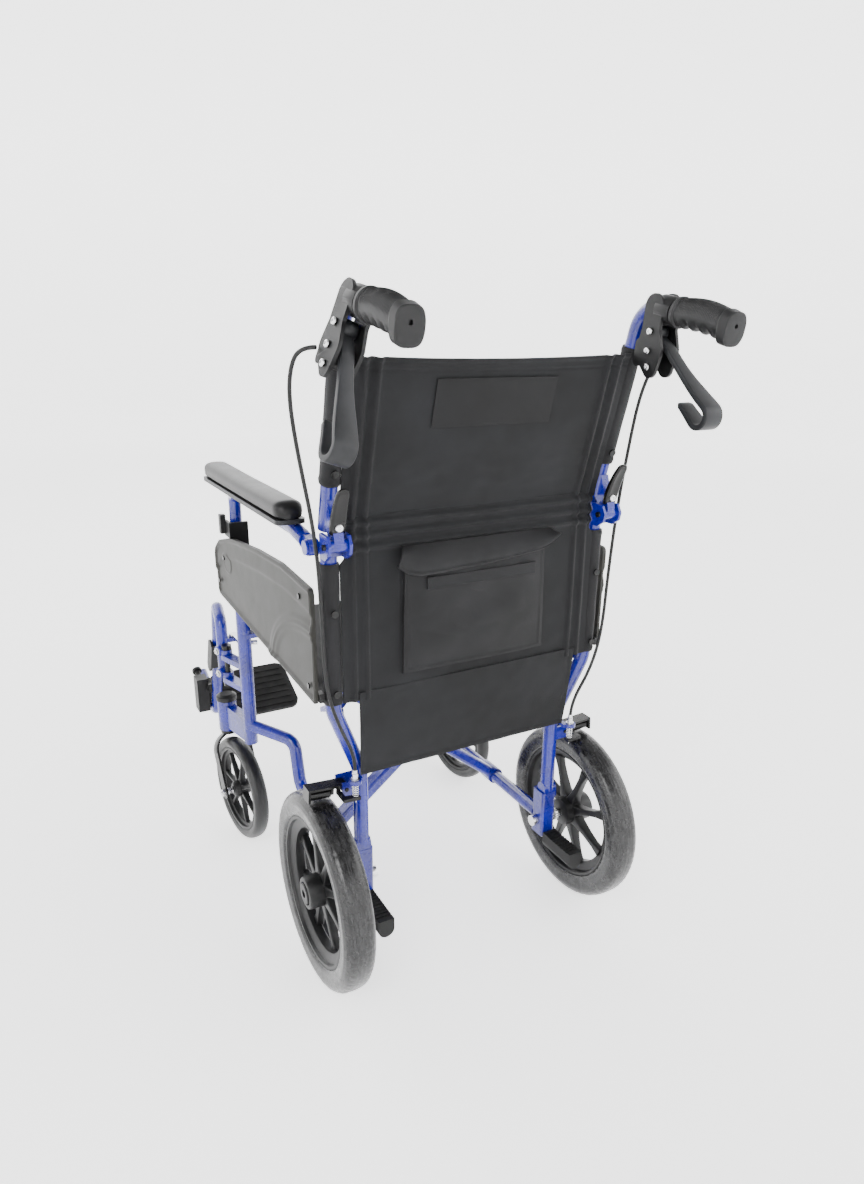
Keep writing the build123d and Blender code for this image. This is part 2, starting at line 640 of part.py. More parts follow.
with BuildPart() as brace_b:
    with BuildSketch(
        Plane(origin=(-RAIL_X, BRACE_Y - 16, RAIL_Z), x_dir=(0, 1, 0), z_dir=(-BRACE_WAY[0], 0, BRACE_WAY[2]))
    ):
        RectangleRounded(28, 19, 6)
    extrude(amount=BRACE_LONG)
    rod((-RAIL_X, BRACE_Y - 36, RAIL_Z), (-RAIL_X, BRACE_Y + 4, RAIL_Z), 14.5)
    rod((-RAIL_X, BRACE_Y - 60, RAIL_Z), (-RAIL_X, BRACE_Y + 60, RAIL_Z), TUBE_R + FIT_GAP, Mode.SUBTRACT)
    rod((SEAT_X, -402, SEAT_Z), (SEAT_X, -2, SEAT_Z), TUBE_R)
    rod((0, BRACE_Y - 40, BOLT_Z), (0, BRACE_Y + 40, BOLT_Z), 5 + FIT_GAP, Mode.SUBTRACT)
save(brace_b.part, "brace_b")

with BuildPart() as brace_bolt:
    rod((0, BRACE_Y - 40, BOLT_Z), (0, BRACE_Y + 38, BOLT_Z), 5)
    rod((0, BRACE_Y - 38, BOLT_Z), (0, BRACE_Y - 30.2, BOLT_Z), 9)
    rod((0, BRACE_Y - 1.8, BOLT_Z), (0, BRACE_Y + 1.8, BOLT_Z), 10)
    rod((0, BRACE_Y + 30, BOLT_Z), (0, BRACE_Y + 37, BOLT_Z), 9)
save(brace_bolt.part, "brace_bolt")

# ---- seat sling over the two seat rails ----
with BuildPart() as seat_sling:
    block((-SEAT_X, -395, SEAT_Z + 11.1), (SEAT_X, -8, SEAT_Z + 13.1))
    for x in (-SEAT_X, SEAT_X):
        rod((x, -395, SEAT_Z), (x, -8, SEAT_Z), 13.1)
    for x in (-SEAT_X, SEAT_X):
        rod((x, -396, SEAT_Z), (x, -7, SEAT_Z), 11.1, Mode.SUBTRACT)
    block((-SEAT_X - 20, -400, SEAT_Z - 20), (SEAT_X + 20, 0, SEAT_Z), Mode.SUBTRACT)
    block((-SEAT_X, -400, SEAT_Z - 20), (SEAT_X, 0, SEAT_Z + 8), Mode.SUBTRACT)
save(seat_sling.part, "seat_sling")

# ---- back upholstery: upper panel with sleeves on the leaning canes ----
LEAN_FACE = Plane(origin=(0, UPPER_Y0, UPPER_Z0), x_dir=(1, 0, 0), z_dir=(0, LEAN[0], LEAN[1]))
with BuildPart() as back_panel_upper:
    with BuildSketch(LEAN_FACE.offset(62)):
        for x in (-CANE_X, CANE_X):
            with Locations((x, 0)):
                Circle(13.6)
        with Locations((0, 11)):
            Rectangle(2 * CANE_X, 3)
        for x in (-CANE_X, CANE_X):
            with Locations((x, 0)):
                Circle(TUBE_R + FIT_GAP, mode=Mode.SUBTRACT)
    extrude(amount=164)
    with BuildSketch(LEAN_FACE.offset(12)):
        with Locations((0, 11)):
            Rectangle(2 * 196, 3)
    extrude(amount=216)
save(back_panel_upper.part, "back_panel_upper")

with BuildPart() as back_panel_lower:
    with BuildSketch(Plane.XY.offset(457)):
        for x in (-CANE_X, CANE_X):
            with Locations((x, 22.7)):
                Circle(14.3)
        with Locations((0, 34.5)):
            Rectangle(2 * CANE_X, 3)
    extrude(amount=196)
    block((-196, 33, 640), (196, 36, 702))
    side_plate(-178, 178, [(33, 458), (36, 458), (25.5, 337), (22.5, 337)])
    for x in (-CANE_X, CANE_X):
        rod((x, 21.5, 445), (x, 24, CANE_TOP), TUBE_R + FIT_GAP, Mode.SUBTRACT)
save(back_panel_lower.part, "back_panel_lower")
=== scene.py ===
"""Looks for the manual wheelchair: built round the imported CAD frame, in metres."""

import json
import math

import bpy
from mathutils import Matrix, Vector, noise


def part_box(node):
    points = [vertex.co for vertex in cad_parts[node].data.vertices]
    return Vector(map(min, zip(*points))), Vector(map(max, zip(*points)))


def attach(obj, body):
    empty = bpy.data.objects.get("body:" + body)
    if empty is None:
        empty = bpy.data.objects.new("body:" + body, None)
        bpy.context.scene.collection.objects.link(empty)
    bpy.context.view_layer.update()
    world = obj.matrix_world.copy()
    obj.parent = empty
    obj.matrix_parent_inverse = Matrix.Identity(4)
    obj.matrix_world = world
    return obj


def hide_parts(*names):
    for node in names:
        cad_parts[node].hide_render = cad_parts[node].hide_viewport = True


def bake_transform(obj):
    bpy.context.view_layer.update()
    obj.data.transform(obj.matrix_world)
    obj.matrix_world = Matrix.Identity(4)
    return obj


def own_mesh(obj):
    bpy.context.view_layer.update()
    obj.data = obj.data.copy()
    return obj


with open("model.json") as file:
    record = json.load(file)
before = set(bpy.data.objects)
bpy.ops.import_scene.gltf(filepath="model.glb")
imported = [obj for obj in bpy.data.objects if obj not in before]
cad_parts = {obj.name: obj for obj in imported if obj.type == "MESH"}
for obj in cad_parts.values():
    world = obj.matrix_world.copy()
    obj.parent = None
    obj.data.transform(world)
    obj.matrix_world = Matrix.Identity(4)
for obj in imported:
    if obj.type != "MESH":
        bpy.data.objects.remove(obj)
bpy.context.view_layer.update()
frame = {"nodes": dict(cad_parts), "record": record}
JOINTS = {j["name"]: j for j in frame["record"]["behaviour"]["joints"]}
SIDES = (("left", 1), ("right", -1))


def middle(node):
    low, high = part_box(node)
    return (Vector(low) + Vector(high)) / 2


AXLE_Y = middle("left_rear_tyre").y


def at(x, y, z):
    """A point given in millimetres, with Y measured from the rear axle."""
    return Vector((x / 1000, y / 1000 + AXLE_Y, z / 1000))


# ---------------------------------------------------------------- materials
def shader(name):
    material = bpy.data.materials.new(name)
    material.use_nodes = True
    nodes = material.node_tree.nodes
    return material, nodes, material.node_tree.links, nodes["Principled BSDF"]


def coordinates(nodes, links, scale=(1, 1, 1)):
    place = nodes.new("ShaderNodeTexCoord")
    mapping = nodes.new("ShaderNodeMapping")
    mapping.inputs["Scale"].default_value = scale
    links.new(place.outputs["Object"], mapping.inputs["Vector"])
    return mapping.outputs["Vector"]


def grain(nodes, links, vector, scale, detail=3.0, rough=0.55):
    texture = nodes.new("ShaderNodeTexNoise")
    texture.inputs["Scale"].default_value = scale
    texture.inputs["Detail"].default_value = detail
    texture.inputs["Roughness"].default_value = rough
    links.new(vector, texture.inputs["Vector"])
    return texture.outputs["Fac"]


def stops(nodes, links, value, low, high, low_at=0.35, high_at=0.65):
    ramp = nodes.new("ShaderNodeValToRGB")
    ramp.color_ramp.elements[0].position = low_at
    ramp.color_ramp.elements[1].position = high_at
    ramp.color_ramp.elements[0].color = low
    ramp.color_ramp.elements[1].color = high
    links.new(value, ramp.inputs["Fac"])
    return ramp.outputs["Color"]


def tone(r, g, b):
    return (r, g, b, 1.0)


def level(nodes, links, value, low, high):
    spread = nodes.new("ShaderNodeMapRange")
    spread.inputs["To Min"].default_value = low
    spread.inputs["To Max"].default_value = high
    links.new(value, spread.inputs["Value"])
    return spread.outputs["Result"]


def combine(nodes, links, kind, a, b):
    joined = nodes.new("ShaderNodeMath")
    joined.operation = kind
    for value, socket in ((a, joined.inputs[0]), (b, joined.inputs[1])):
        if isinstance(value, (int, float)):
            socket.default_value = value
        else:
            links.new(value, socket)
    return joined.outputs[0]


def bump(nodes, links, bsdf, height, distance, strength=0.5):
    node = nodes.new("ShaderNodeBump")
    node.inputs["Distance"].default_value = distance
    node.inputs["Strength"].default_value = strength
    links.new(height, node.inputs["Height"])
    links.new(node.outputs["Normal"], bsdf.inputs["Normal"])
    return node


def plastic(name, dark, light, rough=(0.38, 0.55), pebble=900, depth=0.00008, patch=35):
    """Moulded plastic or rubber: two close tones in soft patches over a fine pebble."""
    material, nodes, links, bsdf = shader(name)
    vector = coordinates(nodes, links)
    broad = grain(nodes, links, vector, patch, 4)
    fine = grain(nodes, links, vector, pebble, 2)
    links.new(stops(nodes, links, broad, tone(*dark), tone(*light)), bsdf.inputs["Base Color"])
    links.new(level(nodes, links, broad, *rough), bsdf.inputs["Roughness"])
    bsdf.inputs["Specular IOR Level"].default_value = 0.28
    bump(nodes, links, bsdf, fine, depth, 0.6)
    return material


def paint():
    """Glossy powder coat: deep blue with slight orange peel and paler rubbed patches."""
    material, nodes, links, bsdf = shader("blue_paint")
    vector = coordinates(nodes, links)
    broad = grain(nodes, links, vector, 18, 5)
    links.new(
        stops(nodes, links, broad, tone(0.0015, 0.0025, 0.13), tone(0.003, 0.006, 0.24)),
        bsdf.inputs["Base Color"],
    )
    links.new(level(nodes, links, grain(nodes, links, vector, 60, 4), 0.2, 0.34), bsdf.inputs["Roughness"])
    bsdf.inputs["Coat Weight"].default_value = 0.35
    bsdf.inputs["Coat Roughness"].default_value = 0.08
    bump(nodes, links, bsdf, grain(nodes, links, vector, 420, 2), 0.00012, 0.35)
    return material


def chrome():
    material, nodes, links, bsdf = shader("plated_steel")
    vector = coordinates(nodes, links)
    broad = grain(nodes, links, vector, 120, 4)
    links.new(
        stops(nodes, links, broad, tone(0.55, 0.55, 0.56), tone(0.78, 0.78, 0.79)),
        bsdf.inputs["Base Color"],
    )
    bsdf.inputs["Metallic"].default_value = 1.0
    links.new(level(nodes, links, broad, 0.14, 0.36), bsdf.inputs["Roughness"])
    bump(nodes, links, bsdf, grain(nodes, links, vector, 700, 2), 0.00005, 0.4)
    return material


def woven(name, dark, light, pitch=1.1, rough=0.72, speck=0.5):
    """Plain-weave nylon: crossing threads, paler specks and broad tone changes."""
    material, nodes, links, bsdf = shader(name)
    vector = coordinates(nodes, links)
    threads = []
    for direction in ("X", "Z"):
        wave = nodes.new("ShaderNodeTexWave")
        wave.wave_type = "BANDS"
        wave.bands_direction = direction
        wave.inputs["Scale"].default_value = 314.16 / pitch
        wave.inputs["Distortion"].default_value = 1.2
        wave.inputs["Detail"].default_value = 1.0
        links.new(vector, wave.inputs["Vector"])
        threads.append(wave.outputs["Fac"])
    weave = combine(nodes, links, "MULTIPLY", threads[0], threads[1])
    fleck = grain(nodes, links, vector, 950, 2, 0.7)
    broad = grain(nodes, links, vector, 9, 5)
    mixed = combine(nodes, links, "MULTIPLY", fleck, speck)
    mixed = combine(nodes, links, "ADD", mixed, combine(nodes, links, "MULTIPLY", broad, 1 - speck))
    links.new(stops(nodes, links, mixed, tone(*dark), tone(*light), 0.36, 0.66), bsdf.inputs["Base Color"])
    bsdf.inputs["Sheen Weight"].default_value = 0.04
    bsdf.inputs["Specular IOR Level"].default_value = 0.2
    bsdf.inputs["Sheen Roughness"].default_value = 0.5
    links.new(level(nodes, links, fleck, rough - 0.12, rough + 0.12), bsdf.inputs["Roughness"])
    height = combine(nodes, links, "ADD", weave, fleck)
    bump(nodes, links, bsdf, height, 0.00025, 0.55)
    return material


def tyre_with_painted_highlights(name, dark, light, rough):
    """Moulded tyre: painted highlight streaks, lighter colour stretched round the tread, over a fine grain."""
    material, nodes, links, bsdf = shader(name)
    vector = coordinates(nodes, links)
    # painted highlight: the base colour runs from the dark rubber to lighter streaks stretched round the tread
    stretched = coordinates(nodes, links, (6.0, 1.0, 1.0))
    broad = grain(nodes, links, stretched, 60, 6, 0.7)
    links.new(stops(nodes, links, broad, tone(*dark), tone(*light), 0.42, 0.68), bsdf.inputs["Base Color"])
    links.new(level(nodes, links, grain(nodes, links, vector, 90, 5), *rough), bsdf.inputs["Roughness"])
    bsdf.inputs["Specular IOR Level"].default_value = 0.4
    bump(nodes, links, bsdf, grain(nodes, links, vector, 260, 4, 0.7), 0.0004, 0.35)
    return material


def leatherette():
    material, nodes, links, bsdf = shader("arm_vinyl")
    vector = coordinates(nodes, links)
    cells = nodes.new("ShaderNodeTexVoronoi")
    cells.inputs["Scale"].default_value = 620
    links.new(vector, cells.inputs["Vector"])
    broad = grain(nodes, links, vector, 30, 4)
    links.new(
        stops(nodes, links, broad, tone(0.0018, 0.0018, 0.002), tone(0.006, 0.006, 0.0065)),
        bsdf.inputs["Base Color"],
    )
    links.new(level(nodes, links, broad, 0.3, 0.46), bsdf.inputs["Roughness"])
    bsdf.inputs["Specular IOR Level"].default_value = 0.25
    bump(nodes, links, bsdf, cells.outputs["Distance"], 0.0002, 0.35)
    return material


MAT = {
    "blue": paint(),
    "chrome": chrome(),
    "black": plastic("black_moulding", (0.0025, 0.0025, 0.0028), (0.007, 0.007, 0.0075)),
    "gloss": plastic("black_enamel", (0.002, 0.002, 0.002), (0.005, 0.005, 0.005), (0.2, 0.32)),
    "guard": plastic("guard_moulding", (0.009, 0.0087, 0.0068), (0.0135, 0.013, 0.0103), (0.42, 0.56), 700, 0.0001),
    "lever": plastic("lever_moulding", (0.008, 0.0085, 0.0095), (0.014, 0.0145, 0.0165), (0.36, 0.5)),
    "grip": plastic("grip_rubber", (0.005, 0.005, 0.0053), (0.010, 0.010, 0.0106), (0.42, 0.58), 1100, 0.0001),
    "step": plastic("step_rubber", (0.003, 0.003, 0.003), (0.009, 0.009, 0.009), (0.6, 0.75)),
    "rim": plastic("rim_moulding", (0.0025, 0.0025, 0.0028), (0.008, 0.008, 0.0085), (0.32, 0.5)),
    "label": woven("blank_label", (0.0006, 0.0006, 0.0008), (0.0035, 0.0035, 0.0042), 0.8, 0.6, 0.3),
    # tyre and caster tones: dark rubber and its lighter painted highlight streaks
    "tyre": tyre_with_painted_highlights("tyre_rubber", (0.003, 0.003, 0.0032), (0.03, 0.03, 0.031), (0.12, 0.42)),
    "caster": tyre_with_painted_highlights("caster_rubber", (0.003, 0.003, 0.003), (0.012, 0.012, 0.0125), (0.3, 0.5)),
    "nylon": woven("back_nylon", (0.0008, 0.0009, 0.0011), (0.008, 0.0084, 0.0098)),
    "pocket": woven("pocket_nylon", (0.0007, 0.0007, 0.0010), (0.006, 0.006, 0.0072), 1.0, 0.55, 0.35),
    "seat": woven("seat_nylon", (0.0014, 0.0014, 0.0016), (0.011, 0.011, 0.012), 1.3),
    "tape": woven("edge_tape", (0.001, 0.001, 0.0012), (0.010, 0.010, 0.0115), 0.8, 0.65, 0.6),
    "vinyl": leatherette(),
    "nylon_white": plastic("white_washer", (0.5, 0.5, 0.48), (0.62, 0.62, 0.6), (0.35, 0.5)),
    "brass": plastic("brass_clamp", (0.35, 0.24, 0.06), (0.5, 0.36, 0.12), (0.25, 0.4)),
}
MAT["brass"].node_tree.nodes["Principled BSDF"].inputs["Metallic"].default_value = 1.0


# ---------------------------------------------------------------- mesh helpers
def piece(name, points, faces, material, body=None, replaces=(), smooth=40):
    """A new mesh piece with its material, body, slot and the nodes it stands for."""
    mesh = bpy.data.meshes.new(name)
    mesh.from_pydata([tuple(p) for p in points], [], faces)
    mesh.update()
    thing = bpy.data.objects.new(name, mesh)
    bpy.context.scene.collection.objects.link(thing)
    mesh.materials.append(material)
    tidy_normals(mesh)
    mesh.shade_smooth()
    if smooth:
        mesh.set_sharp_from_angle(angle=math.radians(smooth))
    if body:
        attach(thing, body)
    if replaces:
        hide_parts(*replaces)
    return thing


def tidy_normals(mesh):
    import bmesh

    work = bmesh.new()
    work.from_mesh(mesh)
    bmesh.ops.remove_doubles(work, verts=work.verts, dist=1e-6)
    bmesh.ops.recalc_face_normals(work, faces=work.faces)
    work.to_mesh(mesh)
    work.free()


def grid_faces(rows, columns, wrap_rows=False, wrap_columns=False, start=0):
    faces = []
    for r in range(rows if wrap_rows else rows - 1):
        for c in range(columns if wrap_columns else columns - 1):
            a = start + r * columns + c
            b = start + r * columns + (c + 1) % columns
            d = start + ((r + 1) % rows) * columns + c
            e = start + ((r + 1) % rows) * columns + (c + 1) % columns
            faces.append((a, b, e, d))
    return faces


class Solid:
    """Gathers several closed shapes into one mesh."""

    def __init__(self):
        self.points = []
        self.faces = []

    def add(self, points, faces):
        start = len(self.points)
        self.points += [Vector(p) for p in points]
        self.faces += [tuple(start + i for i in f) for f in faces]

    def lathe(self, profile, centre, axis, turns=96, closed=True, wobble=None):
        """Turns (radius, along) points round an axis through centre."""
        axis = Vector(axis).normalized()
        side = axis.orthogonal().normalized()
        other = axis.cross(side)
        points = []
        for n in range(turns):
            angle = math.tau * n / turns
            way = side * math.cos(angle) + other * math.sin(angle)
            for k, (radius, along) in enumerate(profile):
                extra = wobble(n, k) if wobble else 0.0
                points.append(centre + way * (radius + extra) + axis * along)
        faces = grid_faces(turns, len(profile), wrap_rows=True, wrap_columns=closed)
        self.add(points, faces)

    def loft(self, rings):
        """Joins rings of points that share a count, and caps both ends."""
        count = len(rings[0])
        points = [p for ring in rings for p in ring]
        faces = grid_faces(len(rings), count, wrap_columns=True)
        faces.append(tuple(reversed(range(count))))
        faces.append(tuple((len(rings) - 1) * count + i for i in range(count)))
        self.add(points, faces)

    def sheet(self, front, back, rows, columns):
        """A closed thin body between two grids of points."""
        count = rows * columns
        faces = grid_faces(rows, columns)
        faces += [tuple(reversed([count + i for i in f])) for f in grid_faces(rows, columns)]
        edge = [c for c in range(columns)]
        edge += [r * columns + columns - 1 for r in range(1, rows)]
        edge += [(rows - 1) * columns + c for c in range(columns - 2, -1, -1)]
        edge += [r * columns for r in range(rows - 2, 0, -1)]
        for i, a in enumerate(edge):
            b = edge[(i + 1) % len(edge)]
            faces.append((a, count + a, count + b, b))
        self.add(list(front) + list(back), faces)


def rounded_ring(centre, right, up, half_w, half_h, corner, steps=6):
    """Points of a rounded rectangle."""
    corner = min(corner, half_w, half_h)
    ring = []
    for sx, sy, first in ((1, 1, 0), (-1, 1, 90), (-1, -1, 180), (1, -1, 270)):
        for n in range(steps + 1):
            angle = math.radians(first + 90 * n / steps)
            x = sx * (half_w - corner) + corner * math.cos(angle)
            y = sy * (half_h - corner) + corner * math.sin(angle)
            ring.append(centre + right * x + up * y)
    return ring


def bevel_box(solid, low, high, corner=0.0015):
    """A box with rounded vertical edges and eased top and bottom."""
    low, high = Vector(low), Vector(high)
    centre, half = (low + high) / 2, (high - low) / 2
    x, y, z = Vector((1, 0, 0)), Vector((0, 1, 0)), Vector((0, 0, 1))
    ease = corner * 0.4
    rings = []
    for rise, inset in ((-half.z, ease), (-half.z + ease, 0), (half.z - ease, 0), (half.z, ease)):
        rings.append(
            rounded_ring(centre + z * rise, x, y, half.x - inset, half.y - inset, corner - inset * 0.5)
        )
    solid.loft(rings)


def screw(solid, centre, axis, radius=0.005, height=0.0025):
    """A domed screw head with a hex recess."""
    profile = [
        (radius, 0),
        (radius, height * 0.35),
        (radius * 0.86, height * 0.8),
        (radius * 0.6, height),
        (radius * 0.42, height),
        (radius * 0.4, height * 0.3),
        (0.00001, height * 0.3),
        (0.00001, 0),
    ]
    solid.lathe(profile, centre, axis, 18)


def wire(solid, path, radius, count=10):
    """A round wire along points, with steady cross-sections."""
    rings = []
    side = None
    for n, p in enumerate(path):
        before, after = path[max(n - 1, 0)], path[min(n + 1, len(path) - 1)]
        way = (after - before).normalized()
        if side is None:
            side = way.orthogonal().normalized()
        side = (side - way * side.dot(way)).normalized()
        other = way.cross(side)
        rings.append(
            [
                p + side * radius * math.cos(math.tau * k / count) + other * radius * math.sin(math.tau * k / count)
                for k in range(count)
            ]
        )
    solid.loft(rings)


def smooth_path(points, spacing=0.004):
    """Points along a soft curve guided by a few control points."""
    curve = bpy.data.curves.new("guide", "CURVE")
    curve.dimensions = "3D"
    spline = curve.splines.new("NURBS")
    spline.points.add(len(points) - 1)
    for n, p in enumerate(points):
        spline.points[n].co = (*p, 1)
    spline.order_u = 3
    spline.use_endpoint_u = True
    spline.resolution_u = 16
    holder = bpy.data.objects.new("guide", curve)
    mesh = bpy.data.meshes.new_from_object(holder)
    path = [v.co.copy() for v in mesh.vertices]
    bpy.data.objects.remove(holder)
    bpy.data.meshes.remove(mesh)
    kept = [path[0]]
    for p in path[1:]:
        if (p - kept[-1]).length >= spacing:
            kept.append(p)
    kept[-1] = path[-1]
    return kept


def soft_step(low, high, value):
    t = min(1.0, max(0.0, (value - low) / (high - low)))
    return t * t * (3 - 2 * t)


def hump(centre, width, value):
    """A rounded ridge of height 1."""
    t = abs(value - centre) / width
    return math.cos(t * math.pi / 2) ** 2 if t < 1 else 0.0


def wrinkle(x, z, seed, scale):
    return noise.noise(Vector((x * scale, z * scale, seed)))


# ---------------------------------------------------------------- CAD nodes that stay
KEPT = {
    "side_frame": "blue",
    "handle_tube": "blue",
    "arm_tube": "blue",
    "hanger_tube": "blue",
    "frame_fittings": "black",
    "tip_step": "step",
    "rear_axle": "chrome",
    "frame_screws": "gloss",
    "back_screws": "gloss",
    "brake_housing": "black",
    "arm_pad_base": "lever",
    "calf_strap": "black",
    "hanger_latch": "chrome",
    "footplate": "step",
    "caster_fork": "gloss",
    "caster_axle": "chrome",
    "brake_arm": "gloss",
}


def finish_node(node, material, width=0.0006):
    thing = frame["nodes"][node]
    if not thing.material_slots:
        thing.data.materials.append(material)
    for held in thing.material_slots:
        held.material = material
    weld = thing.modifiers.new("weld", "WELD")
    weld.merge_threshold = 0.00002
    ease = thing.modifiers.new("ease", "BEVEL")
    ease.width = width
    ease.segments = 2
    ease.limit_method = "ANGLE"
    ease.angle_limit = math.radians(38)
    ease.harden_normals = False


for side, sign in SIDES:
    for kind, look in KEPT.items():
        finish_node(f"{side}_{kind}", MAT[look])
for node, look in (("brace_a", "blue"), ("brace_b", "blue"), ("brace_bolt", "chrome")):
    finish_node(node, MAT[look])


# ---------------------------------------------------------------- wheels
def rear_wheel(side, sign):
    low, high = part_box(f"{side}_rear_tyre")
    centre = (Vector(low) + Vector(high)) / 2
    out = Vector((sign, 0, 0))
    radius = (high[2] - low[2]) / 2
    half = (high[0] - low[0]) / 2
    inner = radius - 0.0355
    profile = [(inner, -0.019), (inner + 0.003, -0.0215)]
    for n in range(1, 12):
        angle = math.radians(-90 + 180 * n / 12)
        sweep = math.sin(angle)
        rise = math.cos(angle)
        along = half * math.copysign(abs(sweep) ** 0.8, sweep)
        profile.append((inner + 0.009 + (radius - inner - 0.009) * rise**0.62, along))
    profile += [(inner + 0.003, 0.0215), (inner, 0.019)]
    dense = []
    for (r0, a0), (r1, a1) in zip(profile, profile[1:]):
        for k in range(4):
            t = k / 4
            dense.append((r0 + (r1 - r0) * t, a0 + (a1 - a0) * t))
    dense.append(profile[-1])
    tread = []
    for r, a in dense:
        if r > radius - 0.006:
            r -= 0.0005 * max(0.0, math.cos(a * 900)) ** 3
        tread.append((r, a))

    def studs(turn, k):
        r, a = tread[k]
        on_rib = 0.010 < abs(a) < 0.0165 and r > radius - 0.012
        return 0.0006 if on_rib and turn % 3 == 0 else 0.0

    skin = Solid()
    skin.lathe(tread, centre, out, 216, closed=True, wobble=studs)
    piece(
        f"{side}_tyre_with_painted_highlights", skin.points, skin.faces, MAT["tyre"], f"{side}_rear_wheel", [f"{side}_rear_tyre"], 60
    )

    rim = Solid()
    lip = inner - 0.0002
    ring = [
        (lip, -0.0185),
        (lip, 0.0185),
        (lip - 0.002, 0.0195),
        (lip - 0.0055, 0.019),
        (lip - 0.0075, 0.0145),
        (lip - 0.017, 0.0115),
        (lip - 0.0205, 0.0095),
        (lip - 0.0215, 0.004),
        (lip - 0.0215, -0.004),
        (lip - 0.017, -0.0065),
        (lip - 0.0075, -0.0095),
        (lip - 0.0055, -0.0175),
        (lip - 0.002, -0.0195),
    ]
    rim.lathe(ring, centre, out, 120)
    hub = [
        (0.0062, -0.0255),
        (0.019, -0.0255),
        (0.0225, -0.0235),
        (0.0245, -0.012),
        (0.0250, 0.0),
        (0.0242, 0.0262),
        (0.0232, 0.0282),
        (0.0205, 0.0292),
        (0.0182, 0.0292),
        (0.0172, 0.0282),
        (0.0168, 0.0262),
        (0.0158, 0.0262),
        (0.0152, 0.0300),
        (0.0138, 0.0312),
        (0.0062, 0.0312),
    ]
    rim.lathe(hub, centre, out, 64)
    for n in range(8):
        angle = math.tau * (n + 0.5) / 8
        way = Vector((0, math.cos(angle), math.sin(angle)))
        across = out.cross(way)
        rings = []
        for reach, wide, deep in (
            (0.0215, 0.0095, 0.0095),
            (0.034, 0.0068, 0.0088),
            (0.055, 0.0052, 0.0072),
            (0.076, 0.0054, 0.0062),
            (lip - 0.0185, 0.0085, 0.0056),
        ):
            base = centre + way * reach - out * 0.0035
            rings.append(rounded_ring(base, across, out, wide, deep, 0.0022, 4))
        rim.loft(rings)
    piece(
        f"{side}_rim_body", rim.points, rim.faces, MAT["rim"], f"{side}_rear_wheel", [f"{side}_rear_rim"], 35
    )


def caster_wheel(side, sign):
    joint = JOINTS[f"{side}_caster_spin"]
    centre, out = Vector(joint["pos_m"]), Vector(joint["axis"]).normalized() * sign
    radius = centre.z
    inner = radius - 0.018
    profile = [(inner, -0.010), (inner + 0.002, -0.012)]
    for n in range(1, 14):
        angle = math.radians(-90 + 180 * n / 14)
        along = 0.014 * math.copysign(abs(math.sin(angle)) ** 0.85, math.sin(angle))
        profile.append((inner + 0.005 + (radius - inner - 0.005) * math.cos(angle) ** 0.7, along))
    profile += [(inner + 0.002, 0.012), (inner, 0.010)]
    skin = Solid()
    skin.lathe(profile, centre, out, 120)
    piece(
        f"{side}_caster_skin", skin.points, skin.faces, MAT["caster"], f"{side}_caster_wheel", [f"{side}_caster_tyre"], 50
    )
    rim = Solid()
    lip = inner - 0.0002
    ring = [
        (lip, -0.0105),
        (lip, 0.0105),
        (lip - 0.002, 0.0112),
        (lip - 0.0055, 0.0105),
        (lip - 0.0065, 0.006),
        (lip - 0.0115, 0.0045),
        (lip - 0.0125, 0.0),
        (lip - 0.0115, -0.0045),
        (lip - 0.0065, -0.006),
        (lip - 0.0055, -0.0105),
        (lip - 0.002, -0.0112),
    ]
    rim.lathe(ring, centre, out, 96)
    hub = [
        (0.0042, -0.0172),
        (0.0105, -0.0172),
        (0.0135, -0.015),
        (0.0165, -0.004),
        (0.0165, 0.004),
        (0.0135, 0.015),
        (0.0105, 0.0172),
        (0.0042, 0.0172),
    ]
    rim.lathe(hub, centre, out, 48)
    side_way = Vector((0, 0, 1))
    forward = out.cross(side_way)
    for n in range(7):
        angle = math.tau * n / 7
        way = forward * math.cos(angle) + side_way * math.sin(angle)
        across = out.cross(way)
        rings = []
        for reach, wide, deep in ((0.013, 0.0055, 0.0062), (0.03, 0.003, 0.0055), (0.055, 0.0026, 0.0045), (lip - 0.0105, 0.005, 0.004)):
            rings.append(rounded_ring(centre + way * reach, across, out, wide, deep, 0.0015, 4))
        rim.loft(rings)
    piece(
        f"{side}_caster_core", rim.points, rim.faces, MAT["rim"], f"{side}_caster_wheel", [f"{side}_caster_rim"], 35
    )


for side, sign in SIDES:
    rear_wheel(side, sign)
    caster_wheel(side, sign)


